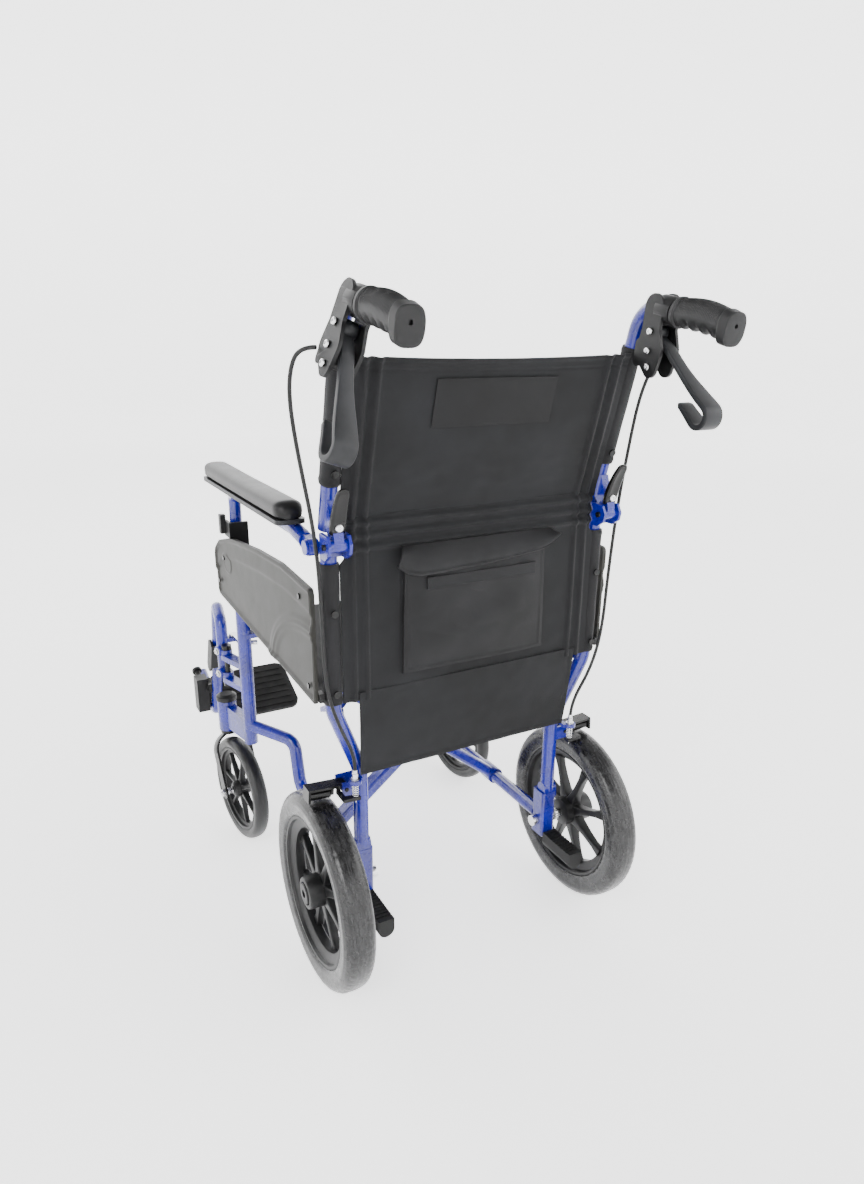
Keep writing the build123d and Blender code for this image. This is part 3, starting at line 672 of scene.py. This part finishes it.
# ---------------------------------------------------------------- hand grips
def hand_grip(side, sign):
    """Rubber grip: ribbed on top, finger grooves below, squared end flange with a hole."""
    droop = math.radians(10.4)
    corner = at(sign * 213.5, 94.3, 970.7)
    way = Vector((0, math.cos(droop), -math.sin(droop)))
    up = Vector((0, math.sin(droop), math.cos(droop)))
    right = Vector((1, 0, 0))
    count = 56
    rings = []
    first, last = 0.066, 0.162
    steps = 300
    for n in range(steps + 1):
        along = first + (last - first) * n / steps
        flange = soft_step(0.1465, 0.1495, along) * (1 - soft_step(0.1605, 0.1622, along) * 0.35)
        collar = (1 - soft_step(0.0715, 0.0735, along)) * soft_step(0.0655, 0.0665, along)
        ring = []
        for k in range(count):
            angle = math.tau * k / count
            c, s = math.cos(angle), math.sin(angle)
            belly = 0.0158 + 0.0010 * math.sin(math.pi * (along - first) / (last - first))
            wide = belly - 0.0002
            tall = belly + 0.0012
            ribs = 0.0
            if 0.078 < along < 0.144:
                top = soft_step(-0.1, 0.5, s)
                ribs += 0.0007 * top * math.cos(along * math.tau / 0.0026)
                under = soft_step(0.15, 0.85, -s)
                ribs += 0.0021 * under * (math.cos((along - 0.083) * math.tau / 0.0178) - 0.6)
            radius_x = wide + ribs * 0.6 + collar * 0.0022
            radius_z = tall + ribs + collar * 0.0022
            power = 1.0 - 0.35 * flange
            x = math.copysign(abs(c) ** power, c) * (radius_x + flange * 0.0008)
            z = math.copysign(abs(s) ** power, s) * (radius_z + flange * 0.0030)
            z -= flange * 0.0012
            t = (along - first) / (last - first)
            z += 0.0042 * math.sin(math.pi * min(1.0, t * 1.02)) ** 1.2 * (1 if s > 0 else 0.55) - 0.002 * t * t
            ring.append(corner + way * along + right * x + up * z)
        rings.append(ring)
    for along, keep in ((0.1622, 0.9), (0.1624, 0.35), (0.1624, 0.14), (0.158, 0.12)):
        centre = corner + way * along + up * 0.001
        rings.append([centre + (p - (corner + way * last)) * keep for p in rings[steps]])
    solid = Solid()
    solid.loft(rings)
    piece(
        f"{side}_grip_rubber", solid.points, solid.faces, MAT["grip"], f"{side}_back", [f"{side}_hand_grip"], 50
    )


for side, sign in SIDES:
    hand_grip(side, sign)


# ---------------------------------------------------------------- arm pads
def arm_pad(side):
    """Moulded foam pad: crowned top, drawn-in edge over the base, rounded ends."""
    low, high = (Vector(v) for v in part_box(f"{side}_arm_pad"))
    centre, half = (low + high) / 2, (high - low) / 2
    rings = []
    steps = 90
    for n in range(steps + 1):
        t = -1 + 2 * n / steps
        from_end = half.y * (1 - abs(t))
        round_end = math.sqrt(max(0.0, 1 - max(0.0, (0.018 - from_end) / 0.018) ** 2))
        front = soft_step(0.0, -0.9, t)
        wide = (half.x - 0.0006) * (0.35 + 0.65 * round_end)
        tall = half.z * (0.42 + 0.58 * round_end) * (0.94 + 0.06 * front)
        mid = Vector((centre.x, centre.y + half.y * t, low.z + tall))
        ring = []
        for k in range(40):
            angle = math.tau * k / 40
            c, s = math.cos(angle), math.sin(angle)
            power = 0.52
            x = math.copysign(abs(c) ** power, c) * wide
            z = math.copysign(abs(s) ** power, s) * tall
            if s > 0:
                z -= 0.0022 * (x / max(wide, 1e-6)) ** 2
            x *= 1 - 0.025 * hump(-0.35, 0.2, z / tall)
            ring.append(mid + Vector((x, 0, z)))
        rings.append(ring)
    solid = Solid()
    solid.loft(rings)
    pad = piece(
        f"{side}_pad_cover", solid.points, solid.faces, MAT["vinyl"], f"{side}_arm", [f"{side}_arm_pad"], 60
    )


for side, _ in SIDES:
    arm_pad(side)


# ---------------------------------------------------------------- skirt guards
GUARD_TOP = [(-455, 560), (-446, 572), (-420, 588), (-370, 601), (-325, 609), (-200, 622), (-90, 628), (26, 621)]


def line_at(line, y):
    """Height of a broken line at y."""
    for (y0, z0), (y1, z1) in zip(line, line[1:]):
        if y <= y1:
            t = (y - y0) / (y1 - y0)
            return z0 + (z1 - z0) * t
    return line[-1][1]


def skirt_guard(side, sign):
    """Moulded guard: rolled border, a swept ridge and two arches at the rear."""
    low, high = (Vector(v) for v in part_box(f"{side}_skirt_guard"))
    inner = min(abs(low.x), abs(high.x))
    first, last = (low.y - AXLE_Y) * 1000, (high.y - AXLE_Y) * 1000
    columns, rows = 190, 74
    front, back = [], []
    for r in range(rows):
        t = r / (rows - 1)
        for c in range(columns):
            y = first + (last - first) * c / (columns - 1)
            top, bottom = line_at(GUARD_TOP, y), 482 - 23 * (y - first) / (last - first)
            near = min(y - first, 14.0)
            cut = 14 - math.sqrt(max(0.0, 14**2 - (14 - near) ** 2))
            far = min(last - y, 7.0)
            cut += 7 - math.sqrt(max(0.0, 7**2 - (7 - far) ** 2))
            top, bottom = top - cut, bottom + cut
            z = bottom + (top - bottom) * t
            edge = min(top - z, z - bottom, y - first, last - y)
            lift = 3.2 * (1 - soft_step(3.0, 10.0, edge)) - 1.6 * (1 - soft_step(0.0, 3.0, edge))
            below = line_at(GUARD_TOP, y) - z
            lift += 2.4 * soft_step(40, 31, below)
            arch = math.hypot((y - 10) / 1.55, (z - 455))
            lift += 2.2 * soft_step(121, 112, arch) - 1.6 * soft_step(99, 91, arch)
            lift += 1.2 * hump(106, 4.0, arch)
            oval = math.hypot((y + 388) / 24, (z - 553) / 17)
            lift += 1.4 * soft_step(1.08, 0.95, oval) - 0.6 * soft_step(0.9, 0.8, oval)
            x = inner * 1000 + 2.2 + lift
            front.append(at(sign * x, y, z))
            back.append(at(sign * (inner * 1000 + 0.05), y, z))
    solid = Solid()
    solid.sheet(front, back, rows, columns)
    piece(
        f"{side}_guard_shell", solid.points, solid.faces, MAT["guard"], f"{side}_frame", [f"{side}_skirt_guard"], 50
    )


for side, sign in SIDES:
    skirt_guard(side, sign)


# ---------------------------------------------------------------- upholstery
LEAN = math.atan2(94.3 - 19.0, 970.7 - 697.0)


def lean_place(x, along, across):
    """A point on the leaning back: along the cane, and square to it to the rear."""
    y = 19.0 + along * math.sin(LEAN) + across * math.cos(LEAN)
    z = 697.0 + along * math.cos(LEAN) - across * math.sin(LEAN)
    return at(x, y, z)


def fold_squash(thing):
    """Gives the cloth piece a mesh of its own; it does not change the cloth as the frame folds."""
    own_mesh(thing)


def upper_panel():
    columns, rows = 200, 120
    front, back = [], []
    for r in range(rows):
        t = r / (rows - 1)
        for c in range(columns):
            x = -203 + 406 * c / (columns - 1)
            sag = 5.0 * (1 - (x / 203) ** 2) * t**3
            along = 12 + (222 - 12 - sag) * t
            across = 10.5
            across += 1.6 * math.cos(math.pi * x / 406) * math.sin(math.pi * t)
            for line, height in ((168, 3.8), (186, 4.0)):
                across += height * hump(line, 7.0, abs(x))
            across -= 1.4 * hump(177, 4.0, abs(x))
            across += 2.4 * soft_step(214, 220, along + sag)
            across -= 0.8 * hump(206, 2.0, along + sag)
            across += 0.9 * wrinkle(x, along, 3.1, 0.012) + 0.35 * wrinkle(x, along, 9.4, 0.05)
            across += 0.9 * hump(60, 60, along) * wrinkle(x * 0.4, along, 5.2, 0.07)
            front.append(lean_place(x, along, across + 1.3))
            back.append(lean_place(x, along, across - 1.3))
    solid = Solid()
    solid.sheet(front, back, rows, columns)
    panel = piece(
        "back_upper_cloth", solid.points, solid.faces, MAT["nylon"], "left_back", ["back_panel_upper"], 60
    )
    fold_squash(panel)
    patch_front, patch_back = [], []
    for r in range(24):
        for c in range(40):
            x = -88 + 178 * c / 39
            along = 132 + 62 * r / 23
            edge = min(r, 23 - r, c, 39 - c)
            across = 13.1 + 1.4 * math.cos(math.pi * x / 406) + (0.35 if edge > 0 else 0.0)
            across += 0.9 * wrinkle(x, along, 3.1, 0.012)
            patch_front.append(lean_place(x, along, across + 0.25))
            patch_back.append(lean_place(x, along, across - 0.8))
    solid = Solid()
    solid.sheet(patch_front, patch_back, 24, 40)
    patch = piece("blank_patch", solid.points, solid.faces, MAT["label"], "left_back", smooth=60)
    fold_squash(patch)


def lower_panel():
    columns, rows = 200, 150
    front, back = [], []
    for r in range(rows):
        t = r / (rows - 1)
        for c in range(columns):
            z = 458 + (712 - 458) * t
            reach = 203 - 7 * soft_step(650, 660, z)
            x = -reach + 2 * reach * c / (columns - 1)
            y = 34.5 + 2.2 * math.cos(math.pi * x / 406) * math.sin(math.pi * t)
            for line, height in ((168, 3.6), (186, 3.8)):
                y += height * hump(line, 7.0, abs(x)) * soft_step(712, 706, z)
            for line in (671, 687, 703):
                y += 4.6 * hump(line, 8.0, z)
            y += 1.5 * wrinkle(x, z, 1.7, 0.011) + 0.5 * wrinkle(x, z, 8.8, 0.04)
            y += 1.2 * soft_step(668, 640, z) * wrinkle(x * 0.35 + z * 0.3, z * 0.5, 4.4, 0.05)
            front.append(at(x, y + 1.3, z))
            back.append(at(x, y - 1.3, z))
    solid = Solid()
    solid.sheet(front, back, rows, columns)
    panel = piece(
        "back_lower_cloth", solid.points, solid.faces, MAT["nylon"], "left_frame", ["back_panel_lower"], 60
    )
    fold_squash(panel)


def hanging_flap():
    columns, rows = 120, 60
    front, back = [], []
    for r in range(rows):
        t = r / (rows - 1)
        for c in range(columns):
            u = -1 + 2 * c / (columns - 1)
            x = u * (181 - 5 * t)
            z = 470 - (470 - 337) * t
            y = 36.5 - 13.0 * t + 1.2 * math.sin(math.pi * t)
            y += 1.6 * t * wrinkle(x, z * 0.6, 6.1, 0.016) + 0.5 * wrinkle(x, z, 2.2, 0.05)
            edge = min(x + 181 - 5 * t, 181 - 5 * t - x, z - 337)
            y += 0.9 * (1 - soft_step(5.0, 7.0, edge))
            front.append(at(x, y + 1.1, z))
            back.append(at(x, y - 1.1, z))
    solid = Solid()
    solid.sheet(front, back, rows, columns)
    flap = piece(
        "back_hanging_flap", solid.points, solid.faces, MAT["nylon"], "left_frame", smooth=60
    )
    fold_squash(flap)


def pocket():
    columns, rows = 110, 90
    front, back = [], []
    for r in range(rows):
        t = r / (rows - 1)
        for c in range(columns):
            u = -1 + 2 * c / (columns - 1)
            x = u * (113 + 3 * (1 - t))
            z = 487 + (640 - 487) * t
            belly = (1 - u**4) * math.sin(math.pi * (0.08 + 0.75 * t)) ** 0.8
            y = 39.0 + 8.0 * belly + 3.0 * soft_step(0.7, 1.0, t) * (1 - u * u)
            y += 4.5 * belly * wrinkle(x + 0.8 * z, z - 0.5 * x, 2.9, 0.016)
            y += 2.2 * belly * abs(wrinkle(x * 0.7 - 0.5 * z, z + 0.3 * x, 7.3, 0.028))
            edge = min(x + 113, 113 - x, z - 487)
            y += 1.0 * (1 - soft_step(4.0, 6.0, edge))
            front.append(at(x, y + 0.9, z))
            back.append(at(x, 37.2 if edge < 6 else y - 0.9, z))
    solid = Solid()
    solid.sheet(front, back, rows, columns)
    bag = piece("pocket_front", solid.points, solid.faces, MAT["pocket"], "left_frame", smooth=70)
    fold_squash(bag)

    columns, rows = 130, 44
    front, back = [], []
    for r in range(rows):
        t = r / (rows - 1)
        for c in range(columns):
            u = -1 + 2 * c / (columns - 1)
            x = u * (119 + 12 * t)
            corner = max(0.0, abs(u) - 0.72) / 0.28
            droop = 7 * math.cos(math.pi * u / 2) + 9 * u * t - 15 * corner**2.2
            z = 669 - 31 * t - droop * t
            y = 40.0 + 17 * math.sin(math.pi * (0.06 + 0.62 * t)) * (0.8 + 0.2 * u * u)
            y += 3.5 * t * wrinkle(x, z, 5.5, 0.018) + 1.2 * wrinkle(x, z, 1.2, 0.05) * t
            y += 1.6 * hump(0.93, 0.07, t)
            front.append(at(x, y + 1.1, z))
            back.append(at(x, y - 1.1, z))
    solid = Solid()
    solid.sheet(front, back, rows, columns)
    flap = piece("pocket_flap", solid.points, solid.faces, MAT["pocket"], "left_frame", smooth=70)
    fold_squash(flap)

    solid = Solid()
    bevel_box(solid, at(-92, 46.5, 606), at(84, 50.5, 623), 0.0012)
    strip = piece("pocket_strip", solid.points, solid.faces, MAT["tape"], "left_frame")
    fold_squash(strip)


def sleeve(name, body, x, frame_point, low, high, wide, deep, seed, stands_for=None):
    """Cloth sleeve round a cane, flattened at the back, with a hemmed top and bottom."""
    rings = []
    steps = 60
    for n in range(steps + 1):
        t = n / steps
        along = low + (high - low) * t
        hem = 0.9 * max(hump(0.03, 0.03, t), hump(0.97, 0.03, t))
        ring = []
        for k in range(44):
            angle = math.tau * k / 44
            c, s = math.cos(angle), math.sin(angle)
            ripple = 0.5 * noise.noise(Vector((c * 1.3, s * 1.3, along * 0.03 + seed)))
            px = math.copysign(abs(c) ** 0.8, c) * (wide + ripple + hem)
            py = math.copysign(abs(s) ** 0.85, s) * (deep + ripple + hem)
            ring.append(frame_point(x + px, along, py))
        rings.append(ring)
    solid = Solid()
    solid.loft(rings)
    return piece(name, solid.points, solid.faces, MAT["tape"], body, smooth=60)


def straight_place(x, z, across):
    """A point by the lower cane: at height z, to the rear of its axis."""
    return at(x, 21.5 + 2.5 * (z - 445) / 243 + across, z)


upper_panel()
lower_panel()
hanging_flap()
pocket()
for side, sign in SIDES:
    sleeve(f"{side}_upper_sleeve", f"{side}_back", sign * 213.5, lean_place, 62, 227, 12.6, 13.0, 1.0 + sign)
    sleeve(
        f"{side}_lower_sleeve", f"{side}_frame", sign * 213.5, straight_place, 457, 653, 12.6, 13.6, 5.0 + sign
    )


def seat_cloth():
    low, high = (Vector(v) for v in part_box("seat_sling"))
    columns, rows = 150, 110
    front, back = [], []
    half = (high.x - low.x) / 2 * 1000 - 13.1
    top = high.z * 1000
    for r in range(rows):
        t = r / (rows - 1)
        y = (low.y - AXLE_Y) * 1000 + (high.y - low.y) * 1000 * t
        for c in range(columns):
            u = -1 + 2 * c / (columns - 1)
            reach = abs(u) * (half + 20)
            if reach <= half:
                x, z = math.copysign(reach, u), top - 0.6
                z -= 7.0 * (1 - (reach / half) ** 2) * (0.6 + 0.4 * math.sin(math.pi * t))
                z += 0.8 * wrinkle(x, y, 2.0, 0.02)
                z += 0.9 * hump(half - 24, 3.0, reach)
                way = Vector((0, 0, 1))
            else:
                turn = (reach - half) / 12.4
                x = math.copysign(half + 12.5 * math.sin(turn), u)
                z = top - 13.1 + 12.5 * math.cos(turn)
                way = Vector((math.copysign(math.sin(turn), u), 0, math.cos(turn)))
            point = at(x, y, z)
            front.append(point + way * 0.0007)
            back.append(point - way * 0.0007)
    solid = Solid()
    solid.sheet(front, back, rows, columns)
    cloth = piece("seat_cloth", solid.points, solid.faces, MAT["seat"], "seat", ["seat_sling"], 60)
    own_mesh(cloth)


seat_cloth()


# ---------------------------------------------------------------- brake cables
CABLE_START = {
    "left": [(252.3, 108, 917), (262, 98, 917), (269, 78, 905), (269, 60, 868), (260, 52, 808)],
    "right": [(232.4, 108, 893), (242, 98, 893), (251, 74, 880), (251, 58, 840), (247, 51, 780)],
}
CABLE_DOWN = [(238, 47, 690), (233, 44, 590), (231, 42, 490), (214, 42, 430), (188, 33, 375), (188, 32, 350)]


def brake_cable(side, sign):
    path = smooth_path([at(sign * x, y, z) for x, y, z in CABLE_START[side] + CABLE_DOWN])
    sheath = Solid()
    wire(sheath, path, 0.0025, 12)
    cable = piece(
        f"{side}_cable_sheath", sheath.points, sheath.faces, MAT["black"], None, [f"{side}_brake_cable"], 60
    )
    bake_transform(cable)
    metal = Solid()
    barrel = [(0.0, 0.352), (0.0034, 0.352), (0.0034, 0.347), (0.0042, 0.3465), (0.0042, 0.3385), (0.0062, 0.338), (0.0062, 0.3365), (0.0033, 0.336), (0.0033, 0.331), (0.0, 0.331)]
    foot = at(sign * 188, 32, 0)
    metal.lathe([(max(r, 1e-5), a) for r, a in barrel], Vector((foot.x, foot.y, 0)), (0, 0, 1), 20)
    turns = []
    for n in range(150):
        angle = math.tau * 7 * n / 149
        turns.append(
            Vector((foot.x + 0.0042 * math.cos(angle), foot.y + 0.0042 * math.sin(angle), 0.3305 - 0.021 * n / 149))
        )
    wire(metal, turns, 0.0006, 8)
    wire(metal, [Vector((foot.x, foot.y, 0.331)), Vector((foot.x, foot.y, 0.300))], 0.0009, 8)
    piece(
        f"{side}_cable_spring", metal.points, metal.faces, MAT["chrome"], f"{side}_frame", smooth=50
    )


for side, sign in SIDES:
    brake_cable(side, sign)


# ---------------------------------------------------------------- levers, latches, bolt heads
GRIP_CORNER = at(213.5, 94.3, 970.7)
GRIP_WAY = Vector((0, math.cos(math.radians(10.4)), -math.sin(math.radians(10.4))))
HOUSING_TURN = Matrix.Rotation(math.radians(-20), 3, GRIP_WAY)
LEVER_ANGLE = {"left": 31.0, "right": 50.0}


def on_housing(side, point):
    """A point of the brake housing, which is turned about the grip on the left side."""
    if side == "left":
        return HOUSING_TURN @ (point - GRIP_CORNER) + GRIP_CORNER
    return point


def brake_lever(side, sign):
    """Moulded strap that widens towards its hooked end, on a barrel."""
    angle = math.radians(LEVER_ANGLE[side])
    swing = Matrix.Rotation(angle, 3, "X")
    pivot = at(sign * 213.5, 126, 934)

    def place(x, y, z):
        local = swing @ Vector((x / 1000, y / 1000, z / 1000))
        return on_housing(side, pivot + local)

    path = [(0.0, -4.0), (0.0, -30.0)]
    path += [(-2.5 * math.sin(math.pi * n / 12), -30 - 104.0 * n / 12) for n in range(1, 13)]
    path += [(-14 + 14 * math.cos(math.pi * n / 18), -134 - 14 * math.sin(math.pi * n / 18)) for n in range(1, 19)]
    path += [(-28.0, -134 + 36.0 * n / 8) for n in range(1, 9)]
    run = [0.0]
    for (y0, z0), (y1, z1) in zip(path, path[1:]):
        run.append(run[-1] + math.hypot(y1 - y0, z1 - z0))
    rings = []
    for n, (y, z) in enumerate(path):
        (ya, za), (yb, zb) = path[max(n - 1, 0)], path[min(n + 1, len(path) - 1)]
        long = math.hypot(yb - ya, zb - za)
        ny, nz = (zb - za) / long, -(yb - ya) / long
        wide = 8.6 + 5.6 * soft_step(50, 130, run[n]) - 3.0 * soft_step(165, 206, run[n])
        deep = 3.7
        if n in (0, len(path) - 1):
            wide, deep = wide * 0.86, 1.6
        ring = []
        for sx, sn, first in ((1, 1, 0), (-1, 1, 90), (-1, -1, 180), (1, -1, 270)):
            for k in range(5):
                turn = math.radians(first + 90 * k / 4)
                x = sx * (wide - 1.5) + 1.5 * math.cos(turn)
                d = sn * (deep - 1.5) + 1.5 * math.sin(turn)
                ring.append(place(x, y + ny * d, z + nz * d))
        rings.append(ring)
    solid = Solid()
    solid.loft(rings)
    centre, axis = place(0, 0, 0), (place(1, 0, 0) - place(0, 0, 0)).normalized()
    barrel = [(0.0042, -0.0098), (0.0088, -0.0098), (0.0098, -0.0088), (0.0098, 0.0088), (0.0088, 0.0098), (0.0042, 0.0098)]
    solid.lathe(barrel, centre, axis, 36)
    piece(
        f"{side}_lever_strap", solid.points, solid.faces, MAT["lever"], f"{side}_brake_lever", [f"{side}_brake_lever"], 45
    )


LATCH = [
    (55, 697, 8.5, 3.0),
    (55, 699, 10.2, 4.6),
    (58, 709, 10.6, 5.2),
    (62, 720, 10.4, 5.0),
    (67, 732, 9.8, 4.6),
    (73, 743, 9.2, 4.2),
    (78, 751, 8.2, 3.7),
    (80, 755, 6.4, 2.9),
    (80.5, 757, 3.4, 1.4),
]


def back_latch(side, sign):
    """Tapered handle that bows to the rear, with a channel down its face."""
    rings = []
    for n, (y, z, wide, deep) in enumerate(LATCH):
        (ya, za, _, _), (yb, zb, _, _) = LATCH[max(n - 1, 0)], LATCH[min(n + 1, len(LATCH) - 1)]
        long = math.hypot(yb - ya, zb - za)
        ny, nz = (zb - za) / long, -(yb - ya) / long
        ring = []
        for k in range(32):
            turn = math.tau * k / 32
            c, s = math.cos(turn), math.sin(turn)
            x = math.copysign(abs(c) ** 0.55, c) * wide
            d = math.copysign(abs(s) ** 0.6, s) * deep
            if s > 0.5 and 1 < n < 7:
                d -= 1.3 * (1 - min(1.0, abs(x) / (wide * 0.7))) ** 0.5
            ring.append(at(sign * 213.5 + x, y + ny * d, z + nz * d))
        rings.append(ring)
    solid = Solid()
    solid.loft(rings)
    piece(
        f"{side}_latch_handle", solid.points, solid.faces, MAT["gloss"], f"{side}_back_latch", [f"{side}_back_latch"], 50
    )
    head = Solid()
    screw(head, at(sign * 213.5, 62.6, 706), (0, 1, 0.25), 0.0052, 0.0026)
    piece(
        f"{side}_latch_screw", head.points, head.faces, MAT["chrome"], f"{side}_back_latch", smooth=35
    )


def bolt_heads(side, sign):
    heads = Solid()
    for y, z in ((129, 936), (127, 912), (129, 892)):
        for x, way in ((sign * 213.5 + 18, 1), (sign * 213.5 - 18, -1)):
            place = on_housing(side, at(x, y, z))
            tip = on_housing(side, at(x + way, y, z))
            screw(heads, place - (tip - place).normalized() * 0.0004, tip - place, 0.0045, 0.0026)
    piece(
        f"{side}_housing_heads", heads.points, heads.faces, MAT["chrome"], f"{side}_back", smooth=35
    )

    knuckles, bolts, washers = Solid(), Solid(), Solid()
    out = Vector((sign, 0.35, 0)).normalized()
    for z in (331, 375):
        centre = at(sign * 243, -446, z)
        boss = [(0.0001, 0.0), (0.0092, 0.0), (0.0098, 0.0015), (0.0098, 0.0105), (0.0088, 0.0125), (0.0066, 0.0132), (0.0001, 0.0132)]
        knuckles.lathe(boss, centre, out, 32)
        washers.lathe(
            [(0.0001, 0.0128), (0.0066, 0.0128), (0.0066, 0.0142), (0.0001, 0.0142)], centre, out, 24
        )
        screw(bolts, centre + out * 0.0138, out, 0.0048, 0.0034)
    piece(
        f"{side}_hanger_knuckles", knuckles.points, knuckles.faces, MAT["blue"], f"{side}_hanger", smooth=40
    )
    piece(
        f"{side}_knuckle_washers", washers.points, washers.faces, MAT["nylon_white"], f"{side}_hanger", smooth=40
    )
    piece(
        f"{side}_knuckle_bolts", bolts.points, bolts.faces, MAT["chrome"], f"{side}_hanger", smooth=35
    )


for side, sign in SIDES:
    brake_lever(side, sign)
    back_latch(side, sign)
    bolt_heads(side, sign)


# ---------------------------------------------------------------- stage, light, camera
def studio():
    material, nodes, links, bsdf = shader("studio_floor")
    vector = coordinates(nodes, links)
    broad = grain(nodes, links, vector, 1.5, 2)
    links.new(
        stops(nodes, links, broad, tone(0.93, 0.93, 0.93), tone(0.95, 0.95, 0.95)), bsdf.inputs["Base Color"]
    )
    bsdf.inputs["Roughness"].default_value = 0.9
    bsdf.inputs["Emission Color"].default_value = (1.0, 1.0, 1.0, 1.0)
    bsdf.inputs["Emission Strength"].default_value = 1.3
    profile = [0.0, 3.0, 6.5] + [6.5 + 2.5 * math.sin(math.radians(9 * k)) for k in range(1, 11)] + [9.0]
    heights = [0.0, 0.0, 0.0] + [2.5 - 2.5 * math.cos(math.radians(9 * k)) for k in range(1, 11)] + [7.0]
    shell, faces = [Vector((0, 0, -0.0005))], []
    for radius, height in zip(profile[1:], heights[1:]):
        for k in range(96):
            turn = math.tau * k / 96
            shell.append(Vector((radius * math.cos(turn), radius * math.sin(turn), height - 0.0005)))
    faces += [(0, 1 + k, 1 + (k + 1) % 96) for k in range(96)]
    for row in range(len(profile) - 2):
        for k in range(96):
            near, far = 1 + row * 96, 1 + (row + 1) * 96
            faces.append((near + k, far + k, far + (k + 1) % 96, near + (k + 1) % 96))
    mesh = bpy.data.meshes.new("studio_floor")
    mesh.from_pydata(shell, [], faces)
    mesh.materials.append(material)
    mesh.shade_smooth()
    floor = bpy.data.objects.new("studio_floor", mesh)
    bpy.context.scene.collection.objects.link(floor)
    world = bpy.data.worlds.new("studio_world")
    bpy.context.scene.world = world
    world.use_nodes = True
    sky = world.node_tree.nodes["Background"]
    sky.inputs["Color"].default_value = (1.0, 1.0, 1.0, 1.0)
    sky.inputs["Strength"].default_value = 0.7


def lamp(name, place, aim, size, power):
    light = bpy.data.lights.new(name, "AREA")
    light.shape = "RECTANGLE"
    light.size, light.size_y = size
    light.energy = power
    thing = bpy.data.objects.new(name, light)
    bpy.context.scene.collection.objects.link(thing)
    thing.location = place
    thing.rotation_euler = (Vector(aim) - Vector(place)).to_track_quat("-Z", "Y").to_euler()


def camera():
    """The fitted viewpoint: behind the chair, on its left, a little above."""
    yaw, pitch, roll = -0.505108, -0.328818, 0.009029
    forward = Vector((math.sin(yaw) * math.cos(pitch), -math.cos(yaw) * math.cos(pitch), math.sin(pitch)))
    right = Vector((-math.cos(yaw), -math.sin(yaw), 0))
    up = right.cross(forward)
    tilted_right = right * math.cos(roll) + up * math.sin(roll)
    tilted_up = up * math.cos(roll) - right * math.sin(roll)
    data = bpy.data.cameras.new("camera")
    data.sensor_width = 36
    data.lens = 823.4268 * 36 / 1184
    data.shift_x = (432 - 434.967) / 1184
    data.shift_y = (609.891 - 592) / 1184
    thing = bpy.data.objects.new("camera", data)
    bpy.context.scene.collection.objects.link(thing)
    turn = Matrix((tilted_right, tilted_up, -forward)).transposed()
    thing.matrix_world = Matrix.Translation(at(584.35, 975.77, 936.53)) @ turn.to_4x4()
    bpy.context.scene.camera = thing


studio()
middle_point = (0, 0, 0.5)
lamp("key", (2.2, 2.4, 3.2), middle_point, (1.6, 1.6), 70)
lamp("fill", (-2.8, 1.6, 2.2), middle_point, (2.0, 2.0), 30)
lamp("rim", (0.5, -3.0, 2.8), middle_point, (3.0, 1.6), 40)
camera()
